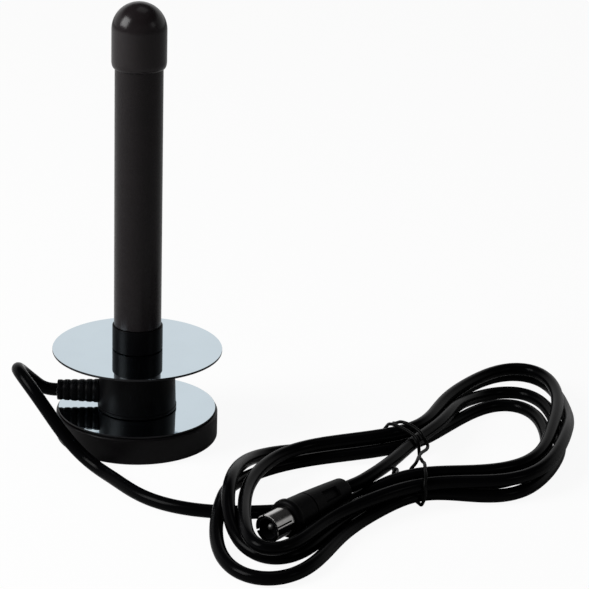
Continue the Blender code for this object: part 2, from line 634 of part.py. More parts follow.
def route_points():
    """Every point the cable is led through, and how many are before and after the hank."""
    turns = [point for half_turn in HALF_TURNS_MM for point in half_turn]
    return np.array(LEAD_MM + turns + TAIL_MM) * MM, len(LEAD_MM), len(TAIL_MM)


def lowest_height(points):
    """How low a strand may lie: on the table, and a little higher where the tie goes under it."""
    height = np.full(len(points), TABLE_STRAND)
    for x, y, _ in (TIE_UPPER, TIE_LOWER):
        away = np.hypot(points[:, 0] - x * MM, points[:, 1] - y * MM) / TIE_LIFT_REACH
        height += TIE_LIFT * np.clip(TIE_LIFT_SLOPE * (1 - away), 0, 1)
    return height


def ease_apart(points):
    """Open tight bends and move strands apart, keeping the line's length and its two ends."""
    step = lengths_along(points)[-1] / (len(points) - 1)
    home = points.copy()
    free = np.ones((len(points), 1))
    free[:EASE_HELD_ENDS] = 0
    free[-EASE_HELD_ENDS:] = 0
    order = np.arange(len(points))
    near = int(NEIGHBOUR_REACH / step)
    most_bow = step * step / (2 * EASE_BEND)
    points = points.copy()
    for count in range(EASE_ROUNDS):
        if count % EASE_LOOK_ROUNDS == 0:
            apart = np.linalg.norm(points[:, None] - points[None], axis=2)
            far_along = order[:, None] + near < order[None]
            one, other = np.nonzero((apart < EASE_CLEAR + step) & far_along)
        bow = (points[:-2] + points[2:]) / 2 - points[1:-1]
        size = np.linalg.norm(bow, axis=1, keepdims=True)
        excess = np.maximum(0, size - most_bow) / np.maximum(size, TINY)
        push = bow * (excess / 2 + EASE_STRAIGHTEN)
        move = np.zeros_like(points)
        move[1:-1] += push
        move[:-2] -= push / 2
        move[2:] -= push / 2
        points += move * free

        between = points[one] - points[other]
        away = np.linalg.norm(between, axis=1, keepdims=True)
        push = between * np.maximum(0, EASE_CLEAR - away) / np.maximum(away, TINY) * EASE_SHARE
        move = np.zeros_like(points)
        np.add.at(move, one, push)
        np.add.at(move, other, -push)
        points += move * free

        link = np.diff(points, axis=0)
        size = np.linalg.norm(link, axis=1, keepdims=True)
        pull = link * (size - step) / np.maximum(size, TINY) * EASE_SPACING
        move = np.zeros_like(points)
        move[:-1] += pull
        move[1:] -= pull
        points += move * free
        points += (home - points) * free * EASE_PULL * (1 - count / EASE_ROUNDS)
        points[:, 2] = np.maximum(points[:, 2], lowest_height(points))
    return points


def cable_route():
    """The eased cable line, and where its hank starts and ends on it."""
    guides, lead_count, tail_count = route_points()
    smooth = natural_spline(guides, SPLINE_SPAN_POINTS)
    along = lengths_along(smooth)
    starts = along[lead_count * SPLINE_SPAN_POINTS], along[-1 - tail_count * SPLINE_SPAN_POINTS]
    route = evenly(smooth, EASE_STEP)
    step = along[-1] / (len(route) - 1)
    first, last = (int(round(s / step)) for s in starts)
    return ease_apart(route), first, last


def thinned(points, longest):
    """Fewer points on the same line: none further off a chord than TUBE_BOW."""
    kept = [0]
    for k in range(2, len(points)):
        start = points[kept[-1]]
        chord = points[k] - start
        inside = points[kept[-1] + 1:k] - start
        share = np.clip(inside @ chord / (chord @ chord), 0, 1)
        bow = np.linalg.norm(inside - share[:, None] * chord, axis=1).max()
        if bow > TUBE_BOW or np.linalg.norm(chord) > longest:
            kept.append(k - 1)
    return points[kept + [len(points) - 1]]


def shortened(points, start, end):
    """The same line with its end points drawn in by the given amounts."""
    points = points.copy()
    first = points[1] - points[0]
    last = points[-2] - points[-1]
    points[0] += first / np.linalg.norm(first) * start
    points[-1] += last / np.linalg.norm(last) * end
    return points


def least_gap(points):
    """Smallest space between two strands of one tube, measured on points along it."""
    fine = evenly(points, GAP_SAMPLE)
    order = np.arange(len(fine))
    apart = np.linalg.norm(fine[:, None] - fine[None], axis=2)
    apart[np.abs(order[:, None] - order[None]) * GAP_SAMPLE < NEIGHBOUR_REACH] = np.inf
    return apart.min() - CABLE_DIAMETER


def build_cable(parts, finishes, route, first, last):
    """Lead from the boot, hank and tail to the plug, end to end."""
    lead = shortened(thinned(route[:first + 1], LEAD_CHORD), 0.0, GAP / 2)
    hank = shortened(thinned(route[first:last + 1], HANK_CHORD), GAP / 2, GAP / 2)
    tail = shortened(thinned(route[last:], LEAD_CHORD), GAP / 2, GAP)
    tube("cable_lead", lead, CABLE_RADIUS, parts, finishes["cable"], LEAD_SIDES_STEP)
    tube("cable_hank", hank, CABLE_RADIUS, parts, finishes["cable"], HANK_SIDES_STEP)
    tube("cable_tail", tail, CABLE_RADIUS, parts, finishes["cable"], LEAD_SIDES_STEP)
    print(f"cable length {lengths_along(route)[-1]:.3f} m, hank {lengths_along(hank)[-1]:.3f} m")
    print(f"hank points {len(hank)}, least gap of the hank to itself {least_gap(hank) / MM:.2f} mm")


def bundle_axes(bundle):
    """A bundle's middle, outward direction and direction along it, on the table."""
    x, y, heading = bundle
    turn = math.radians(heading)
    middle = np.array([x * MM, y * MM, 0.0])
    out = np.array([math.cos(turn), math.sin(turn), 0.0])
    return middle, out, np.array([-out[1], out[0], 0.0])


def strands_at(route, bundle, along):
    """Centres (outwards, height) of the strands that cross a bundle at a distance along it."""
    middle, out, lengthwise = bundle_axes(bundle)
    offset = route - middle
    side = offset @ lengthwise - along
    crossing = np.nonzero((side[:-1] < 0) != (side[1:] < 0))[0]
    share = (side[crossing] / (side[crossing] - side[crossing + 1]))[:, None]
    spots = offset[crossing] * (1 - share) + offset[crossing + 1] * share
    spots = np.stack([spots @ out, spots[:, 2]], 1)
    return spots[np.abs(spots[:, 0]) < TIE_REACH]


def wrap(route, bundle, start, end):
    """Wire points round a bundle between two (degrees, distance along in mm) spots."""
    middle, out, lengthwise = bundle_axes(bundle)
    count = max(1, round(abs(end[0] - start[0]) / TIE_TURN_STEP))
    points = []
    for k in range(count + 1):
        turn = math.radians(start[0] + (end[0] - start[0]) * k / count)
        along = (start[1] + (end[1] - start[1]) * k / count) * MM
        facing = np.array([math.cos(turn), math.sin(turn)])
        strands = strands_at(route, bundle, along)
        spot = strands[np.argmax(strands @ facing)] + TIE_CLEAR * facing
        height = max(spot[1], TIE_RADIUS + GAP)
        points.append(middle + out * spot[0] + lengthwise * along + np.array([0, 0, height]))
    return points


def build_tie(parts, finishes, route):
    """One wire: over the upper bundle, round the lower one, back round the upper one and down again."""
    points = [np.array(spot) * MM for spot in TIE_LOOSE_END_MM]
    points += wrap(route, TIE_UPPER, *TIE_OVER_UPPER)
    points += [np.array(spot) * MM for spot in TIE_FIRST_CROSSING_MM]
    points += wrap(route, TIE_LOWER, *TIE_ROUND_LOWER)
    points += [np.array(spot) * MM for spot in TIE_LEFT_CROSSING_MM]
    points += wrap(route, TIE_UPPER, *TIE_ROUND_UPPER)
    points += [np.array(spot) * MM for spot in TIE_SECOND_CROSSING_MM]
    points += wrap(route, TIE_LOWER, *TIE_OVER_LOWER)
    smooth = natural_spline(np.array(points), TIE_SPAN_POINTS)
    smooth[:, 2] = np.maximum(smooth[:, 2], TIE_RADIUS + GAP)
    tube("wire_tie", smooth, TIE_RADIUS, parts, finishes["tie"], HANK_SIDES_STEP)


def finishes():
    """Colour, roughness and metal of each finish."""
    return {
        "rubber": material("rubber_black", (0.012, 0.012, 0.013), 0.85),
        "ferrite": material("ferrite_grey", (0.035, 0.034, 0.036), 0.6),
        "steel": material("zinc_steel", (0.55, 0.56, 0.58), 0.35, 1.0),
        "base": material("base_black", (0.006, 0.006, 0.007), 0.3),
        "mirror": material("mirror_plate", (0.78, 0.84, 0.87), 0.04, 1.0),
        "hub": material("hub_black", (0.006, 0.006, 0.007), 0.4),
        "board": material("board_green", (0.012, 0.09, 0.04), 0.5),
        "copper": material("copper_wire", (0.64, 0.25, 0.1), 0.3, 1.0),
        "dielectric": material("cable_dielectric", (0.75, 0.75, 0.72), 0.5),
        "boot": material("boot_black", (0.008, 0.008, 0.009), 0.5),
        "brass": material("brass", (0.72, 0.5, 0.22), 0.25, 1.0),
        "foot": material("foot_black", (0.01, 0.01, 0.011), 0.5),
        "tube": material("mast_black", (0.014, 0.013, 0.013), 0.22),
        "foam": material("spacer_white", (0.7, 0.7, 0.68), 0.9),
        "cap": material("cap_black", (0.016, 0.014, 0.015), 0.35),
        "plug": material("plug_black", (0.01, 0.01, 0.011), 0.5),
        "nickel": material("nickel", (0.72, 0.7, 0.68), 0.18, 1.0),
        "insulator": material("plug_insulator", (0.015, 0.015, 0.016), 0.5),
        "cable": material("cable_black", (0.006, 0.006, 0.007), 0.3),
        "tie": material("tie_black", (0.01, 0.01, 0.011), 0.4),
    }


def main():
    """Build the antenna."""
    clear_scene()
    parts = new_collection("rod_antenna")
    cutters = new_collection("rod_antenna_cutters")
    looks = finishes()
    build_base(parts, cutters, looks)
    build_hub(parts, cutters, looks)
    build_boot(parts, cutters, looks)
    build_disc_and_stud(parts, looks)
    build_mast(parts, looks)
    build_plug(parts, cutters, looks)
    route, first, last = cable_route()
    build_cable(parts, looks, route, first, last)
    build_tie(parts, looks, route)


main()
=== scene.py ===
"""Looks of a desk-top rod antenna: smooth pieces, finishes, table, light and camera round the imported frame.

Each sub-assembly is a class whose fields are its sizes. It models its pieces with Blender's own
operators, gives them a procedural finish and lets them ride on the frame's bodies.
"""

import logging
import math
from dataclasses import dataclass, field
from enum import Enum
from typing import Any, Callable, Optional, Sequence, Union

import bpy
import numpy as np
from mathutils import Matrix, Vector


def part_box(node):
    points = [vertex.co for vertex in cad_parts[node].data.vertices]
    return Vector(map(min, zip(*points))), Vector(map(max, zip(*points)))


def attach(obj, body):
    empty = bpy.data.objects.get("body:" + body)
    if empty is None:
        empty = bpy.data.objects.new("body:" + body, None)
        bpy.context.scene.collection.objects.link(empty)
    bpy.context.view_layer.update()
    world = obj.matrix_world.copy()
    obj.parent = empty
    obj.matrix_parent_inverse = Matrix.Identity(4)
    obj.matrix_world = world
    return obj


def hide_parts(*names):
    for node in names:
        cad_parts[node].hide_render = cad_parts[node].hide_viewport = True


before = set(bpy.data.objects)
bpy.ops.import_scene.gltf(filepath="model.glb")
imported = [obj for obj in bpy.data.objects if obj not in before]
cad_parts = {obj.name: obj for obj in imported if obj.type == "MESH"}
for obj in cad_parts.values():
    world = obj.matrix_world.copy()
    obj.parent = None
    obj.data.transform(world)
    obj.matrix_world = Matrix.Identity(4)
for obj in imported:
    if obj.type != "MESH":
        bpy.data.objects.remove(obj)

LOG = logging.getLogger("rod_antenna")
MM = 0.001
MERGE = 0.002 * MM
TINY = 1e-12
FINE_TURN = 128
MIDDLE_TURN = 96
SMALL_TURN = 64
SMOOTH_ANGLE = math.radians(32)
RIM_SHARE = 0.995

Triple = tuple[float, float, float]
Colour = Triple
Places = tuple[Triple, ...]
Profile = list[tuple[float, float]]
Amount = Union[float, "Wire"]
FaceTest = Callable[[Vector, Vector], bool]


class Body(Enum):
    """The frame's bodies that a piece can ride on."""

    BASE = "base"
    MAST = "mast"


class Maths(Enum):
    """The Math node's operations that the finishes use."""

    ADD = "ADD"
    SUBTRACT = "SUBTRACT"
    MULTIPLY = "MULTIPLY"
    LEAST = "MINIMUM"
    SINE = "SINE"


class Wire:
    """An output socket of a shader, which Python's arithmetic works on."""

    def __init__(self, bench: "ShaderBench", socket: bpy.types.NodeSocket) -> None:
        """Keep the socket and the bench that adds nodes beside it."""
        self.bench = bench
        self.socket = socket

    def maths(self, operation: Maths, first: Amount, second: Amount = 0.0) -> "Wire":
        """The result of a Math node that works on one or two values."""
        return self.bench.node("ShaderNodeMath", {"operation": operation.value}, {0: first, 1: second})

    def __add__(self, other: Amount) -> "Wire":
        """Self plus other."""
        return self.maths(Maths.ADD, self, other)

    def __radd__(self, other: float) -> "Wire":
        """Other plus self."""
        return self.maths(Maths.ADD, other, self)

    def __sub__(self, other: Amount) -> "Wire":
        """Self minus other."""
        return self.maths(Maths.SUBTRACT, self, other)

    def __rsub__(self, other: float) -> "Wire":
        """Other minus self."""
        return self.maths(Maths.SUBTRACT, other, self)

    def __mul__(self, other: Amount) -> "Wire":
        """Self times other."""
        return self.maths(Maths.MULTIPLY, self, other)

    def __rmul__(self, other: float) -> "Wire":
        """Other times self."""
        return self.maths(Maths.MULTIPLY, other, self)

    def at_most(self, limit: Amount) -> "Wire":
        """The smaller of self and a limit."""
        return self.maths(Maths.LEAST, self, limit)

    def sine(self) -> "Wire":
        """The sine of self, in radians."""
        return self.maths(Maths.SINE, self)

    def swing(self, size: float) -> "Wire":
        """Self, from 0 to 1, as a swing of that size about zero."""
        return (self - 0.5) * size


class ShaderBench:
    """Adds nodes to one tree and wires them up."""

    def __init__(self, tree: bpy.types.NodeTree) -> None:
        """Work on a material's or a world's tree."""
        self.tree = tree

    def node(
        self,
        kind: str,
        settings: Optional[dict[str, Any]] = None,
        sockets: Optional[dict[Union[str, int], Any]] = None,
        output: Union[str, int] = 0,
    ) -> Wire:
        """Add one node.

        Args:
            kind: The node's type.
            settings: Its properties, set first; "stops" holds a ramp's (place, colour) pairs.
            sockets: Values or wires for its inputs, by name or number.
            output: Which of its outputs to return.

        Returns:
            The chosen output.
        """
        made = self.tree.nodes.new(kind)
        for key, value in (settings or {}).items():
            if key == "stops":
                self.set_stops(made.color_ramp, value)
            else:
                setattr(made, key, value)
        for key, value in (sockets or {}).items():
            self.feed(made.inputs[key], value)
        return Wire(self, made.outputs[output])

    @staticmethod
    def set_stops(ramp: bpy.types.ColorRamp, stops: Sequence[tuple[float, float]]) -> None:
        """Give a ramp its grey stops.

        Args:
            ramp: The ramp.
            stops: Its stops, as (place, brightness).
        """
        while len(ramp.elements) < len(stops):
            ramp.elements.new(1.0)
        for element, (place, grey) in zip(ramp.elements, stops):
            element.position = place
            element.color = (grey, grey, grey, 1.0)

    def feed(self, socket: bpy.types.NodeSocket, value: Any) -> None:
        """Link a wire to a socket, or set the socket's own value.

        Args:
            socket: The socket.
            value: The wire or the value.
        """
        if isinstance(value, Wire):
            self.tree.links.new(value.socket, socket)
        elif isinstance(value, tuple) and socket.type == "RGBA":
            socket.default_value = (*value, 1.0)
        else:
            socket.default_value = value

    def here(self) -> Wire:
        """The point being shaded, in the piece's own metres."""
        return self.node("ShaderNodeTexCoord", output="Object")

    def noise(self, place: Wire, size: float, detail: float = 3.0) -> Wire:
        """Soft noise from 0 to 1 whose lumps are about one size across."""
        return self.node("ShaderNodeTexNoise", {}, {"Vector": place, "Scale": 1.0 / size, "Detail": detail})

    def stretched(self, place: Wire, scale: Triple) -> Wire:
        """A place multiplied axis by axis, which draws a pattern out along an axis."""
        return self.node("ShaderNodeVectorMath", {"operation": "MULTIPLY"}, {0: place, 1: scale}, "Vector")

    def along(self, place: Wire, direction: Triple) -> Wire:
        """How far a place is along a direction."""
        sockets = {0: place, 1: direction}
        return self.node("ShaderNodeVectorMath", {"operation": "DOT_PRODUCT"}, sockets, "Value")

    def ramp(self, value: Wire, stops: Sequence[tuple[float, float]]) -> Wire:
        """A value reshaped by grey stops."""
        return self.node("ShaderNodeValToRGB", {"stops": stops}, {"Fac": value})

    def blend(self, share: Amount, first: Any, second: Any) -> Wire:
        """A mix of two colours."""
        return self.node("ShaderNodeMix", {"data_type": "RGBA"}, {0: share, 6: first, 7: second}, 2)

    def drift(self, share: Wire, colour: Colour, factors: tuple[float, float]) -> Wire:
        """A colour that drifts from one brightness of itself to another."""
        return self.blend(share, *(tinted(colour, factor) for factor in factors))

    def bump(self, height: Wire, relief: float) -> Wire:
        """A normal that follows a height from 0 to 1, with a relief in metres."""
        return self.node("ShaderNodeBump", {}, {"Height": height, "Distance": relief})


class FinishBench(ShaderBench):
    """A bench with a material and its Principled shader."""

    def __init__(self, name: str) -> None:
        """Make an empty material.

        Args:
            name: The material's name.
        """
        self.material = bpy.data.materials.new(name)
        self.material.use_nodes = True
        super().__init__(self.material.node_tree)
        self.shader = self.tree.nodes["Principled BSDF"]

    def dress(self, **values: Any) -> bpy.types.Material:
        """Set the shader's sockets.

        Args:
            **values: A value or a wire for each socket, with _ for a space in its name.

        Returns:
            The finished material.
        """
        for key, value in values.items():
            self.feed(self.shader.inputs[key.replace("_", " ")], value)
        return self.material


def tinted(colour: Colour, factor: float) -> Colour:
    """A colour made lighter or darker."""
    return tuple(min(1.0, part * factor) for part in colour)


@dataclass(frozen=True)
class Moulding:
    """Moulded plastic or rubber: fine grain, cloudy gloss and a little colour drift."""

    name: str
    colour: Colour
    roughness: float
    gloss: float = 0.5
    grain: float = 0.25 * MM
    relief: float = 0.006 * MM
    cloud: float = 9.0 * MM
    unevenness: float = 0.12
    drift: tuple[float, float] = (0.75, 1.3)

    def material(self) -> bpy.types.Material:
        """Build the finish.

        Returns:
            Its material.
        """
        bench = FinishBench(self.name)
        here = bench.here()
        grain = bench.noise(here, self.grain, detail=2.0)
        cloud = bench.noise(here, self.cloud)
        return bench.dress(
            Base_Color=bench.drift(cloud, self.colour, self.drift),
            Roughness=self.roughness + cloud.swing(self.unevenness) + grain.swing(self.unevenness),
            Specular_IOR_Level=self.gloss, Normal=bench.bump(grain, self.relief),
        )


@dataclass(frozen=True)
class Sheath:
    """Extruded cable jacket: drawn out streaks of gloss along its length."""

    name: str
    colour: Colour
    roughness: float
    gloss: float
    streaks_round: float = 9.0
    streaks_along: float = 60.0
    streak_swing: float = 0.16
    grain: float = 0.5 * MM
    grain_swing: float = 0.06
    relief: float = 0.01 * MM
    drift: tuple[float, float] = (0.7, 1.35)

    def material(self) -> bpy.types.Material:
        """Build the finish on the cord's own surface coordinates.

        Returns:
            Its material.
        """
        bench = FinishBench(self.name)
        strand = bench.node("ShaderNodeTexCoord", output="UV")
        drawn = bench.stretched(strand, (self.streaks_along, self.streaks_round, 1.0))
        streak = bench.noise(drawn, 1.0, detail=4.0)
        grain = bench.noise(bench.here(), self.grain, detail=2.0)
        return bench.dress(
            Base_Color=bench.drift(streak, self.colour, self.drift),
            Roughness=self.roughness + streak.swing(self.streak_swing) + grain.swing(self.grain_swing),
            Specular_IOR_Level=self.gloss, Normal=bench.bump(grain, self.relief),
        )


@dataclass(frozen=True)
class Polish:
    """Polished sheet metal: a mirror with faint wipe marks and hairlines."""

    name: str
    colour: Colour
    roughness: float
    wipe: float = 14.0 * MM
    wipe_stops: tuple = ((0.4, 0.0), (0.75, 1.0))
    wipe_dulling: float = 0.03
    hairline: float = 0.25 * MM
    hairline_draw: Triple = (0.03, 1.0, 1.0)
    hairline_swing: float = 0.02
    drift: tuple[float, float] = (1.0, 0.97)

    def material(self) -> bpy.types.Material:
        """Build the finish.

        Returns:
            Its material.
        """
        bench = FinishBench(self.name)
        here = bench.here()
        wipe = bench.ramp(bench.noise(here, self.wipe, detail=4.0), self.wipe_stops)
        hair = bench.noise(bench.stretched(here, self.hairline_draw), self.hairline, detail=1.0)
        return bench.dress(
            Base_Color=bench.drift(wipe, self.colour, self.drift), Metallic=1.0,
            Roughness=self.roughness + wipe * self.wipe_dulling + hair.swing(self.hairline_swing),
        )


@dataclass(frozen=True)
class TurnedMetal:
    """Turned or drawn metal: fine marks across one direction, and slight tarnish."""

    name: str
    colour: Colour
    roughness: float
    direction: Triple = (0.0, 0.0, 1.0)
    mark: float = 0.18 * MM
    mark_swing: float = 0.1
    relief: float = 0.004 * MM
    tarnish: float = 3.0 * MM
    tarnish_dulling: float = 0.08
    drift: tuple[float, float] = (1.0, 0.75)

    def material(self) -> bpy.types.Material:
        """Build the finish.

        Returns:
            Its material.
        """
        bench = FinishBench(self.name)
        here = bench.here()
        rings = bench.node(
            "ShaderNodeTexNoise", {"noise_dimensions": "1D"},
            {"W": bench.along(here, self.direction), "Scale": 1.0 / self.mark, "Detail": 3.0},
        )
        dull = bench.noise(here, self.tarnish)
        return bench.dress(
            Base_Color=bench.drift(dull, self.colour, self.drift), Metallic=1.0,
            Roughness=self.roughness + rings.swing(self.mark_swing) + dull * self.tarnish_dulling,
            Normal=bench.bump(rings, self.relief),
        )


@dataclass(frozen=True)
class Windings:
    """Enamelled copper wire, wound side by side, with painted shade in the grooves between turns."""

    name: str
    colour: Colour
    wire: float = 0.5 * MM
    roughness: float = 0.45
    crest_polish: float = 0.15
    relief: float = 0.05 * MM
    # Painted shade: the colour's brightness in the grooves and on the crests.
    drift: tuple[float, float] = (0.55, 1.0)

    def material(self) -> bpy.types.Material:
        """Build the finish.

        Returns:
            Its material.
        """
        bench = FinishBench(self.name)
        here = bench.here()
        turns = bench.along(here, (1.0, 0.0, 0.0)) * (math.tau / self.wire)
        height = turns.sine() * 0.5 + 0.5
        return bench.dress(
            # Painted shade: the colour darkens into the grooves between turns, following the bump's height.
            Base_Color=bench.drift(height, self.colour, self.drift), Metallic=1.0,
            Roughness=self.roughness - height * self.crest_polish, Normal=bench.bump(height, self.relief),
        )


Finish = Union[Moulding, Sheath, Polish, TurnedMetal, Windings]


@dataclass(frozen=True)
class Finishes:
    """Every finish on the antenna."""

    puck: Moulding = Moulding("puck_black", (0.0032, 0.0029, 0.0032), 0.35, gloss=0.065)
    hub: Moulding = Moulding("hub_black", (0.0018, 0.0018, 0.0021), 0.4, gloss=0.04)
    tube: Moulding = Moulding("tube_black", (0.0068, 0.0053, 0.0058), 0.27, gloss=0.11)
    cap: Moulding = Moulding("cap_black", (0.0095, 0.0075, 0.0081), 0.22, gloss=0.14)
    boot: Moulding = Moulding("boot_black", (0.0015, 0.0015, 0.0018), 0.45, gloss=0.035)
    plug: Moulding = Moulding("plug_black", (0.0011, 0.0011, 0.0013), 0.4, gloss=0.027)
    core: Moulding = Moulding("plug_core_black", (0.003, 0.003, 0.0034), 0.5, gloss=0.05)
    pad: Moulding = Moulding("pad_rubber", (0.01, 0.01, 0.01), 0.8, gloss=0.2)
    foot: Moulding = Moulding("foot_black", (0.0015, 0.0015, 0.0018), 0.35, gloss=0.028)
    tie: Moulding = Moulding("tie_black", (0.0018, 0.0018, 0.0018), 0.4, gloss=0.04)
    rim: Moulding = Moulding("plate_rim", (0.006, 0.006, 0.007), 0.4, gloss=0.15)
    dielectric: Moulding = Moulding("white_dielectric", (0.72, 0.72, 0.69), 0.5)
    foam: Moulding = Moulding("white_foam", (0.7, 0.7, 0.68), 0.9, grain=0.6 * MM, relief=0.1 * MM)
    board: Moulding = Moulding("green_board", (0.012, 0.09, 0.04), 0.45)
    ferrite: Moulding = Moulding("ferrite", (0.035, 0.034, 0.036), 0.6)
    cable: Sheath = Sheath("cable_sheath", (0.0011, 0.0011, 0.0013), 0.2, 0.021)
    # The mirror colour is the metal's grey reflectance plus a painted reflection: its pale blue tint stands
    # in for bluish surroundings.
    mirror: Polish = Polish("mirror_plate", (0.53, 0.62, 0.68), 0.03)
    steel: TurnedMetal = TurnedMetal("zinc_steel", (0.55, 0.56, 0.58), 0.35)
    brass: TurnedMetal = TurnedMetal("turned_brass", (0.72, 0.5, 0.22), 0.25)
    # The bore finish is painted shade: a near-black metal on the nickel sleeve's inner and slot faces,
    # standing in for the shade inside the sleeve.
    bore: TurnedMetal = TurnedMetal("bore_painted_shade", (0.05, 0.05, 0.052), 0.5)
    # The pin finish is painted shade: the nickel pin darkened to how it looks deep inside the contact's
    # mouth.
    pin: TurnedMetal = TurnedMetal("pin_painted_shade", (0.1, 0.1, 0.098), 0.45)
    copper: Windings = Windings("copper_winding", (0.62, 0.26, 0.12))


def deselect() -> None:
    """Leave edit mode and clear the selection."""
    if bpy.context.object is not None and bpy.context.object.mode != "OBJECT":
        bpy.ops.object.mode_set(mode="OBJECT")
    bpy.ops.object.select_all(action="DESELECT")


def added(operator: Callable[..., Any], name: str, **settings: Any) -> bpy.types.Object:
    """Add an object.

    Args:
        operator: The operator that adds it.
        name: The object's name.
        **settings: The operator's settings.

    Returns:
        The object.
    """
    deselect()
    operator(**settings)
    bpy.context.object.name = name
    return bpy.context.object


def aimed(place: Sequence[float], along: Vector) -> Matrix:
    """A frame at a place, with its +Z along a direction."""
    return Matrix.Translation(place) @ along.to_track_quat("Z", "Y").to_matrix().to_4x4()


def arc(
    centre: tuple[float, float], size: tuple[float, float], start: float, end: float, steps: int
) -> Profile:
    """Points (radius, height) on an elliptical arc; its angles are in degrees from the outward direction."""
    turns = [math.radians(start + (end - start) * k / steps) for k in range(steps + 1)]
    return [(centre[0] + size[0] * math.cos(t), centre[1] + size[1] * math.sin(t)) for t in turns]


def top_corner(radius: float, height: float, edge: float, steps: int) -> Profile:
    """A rounded upper corner, drawn outwards and down."""
    return arc((radius - edge, height - edge), (edge, edge), 90, 0, steps)


def bottom_corner(radius: float, height: float, edge: float, steps: int) -> Profile:
    """A rounded lower corner, drawn down and inwards."""
    return arc((radius - edge, height + edge), (edge, edge), 0, -90, steps)


def ring(inner: float, outer: float, low: float, high: float) -> Profile:
    """The closed outline of a plain ring."""
    return [(inner, high), (outer, high), (outer, low), (inner, low), (inner, high)]


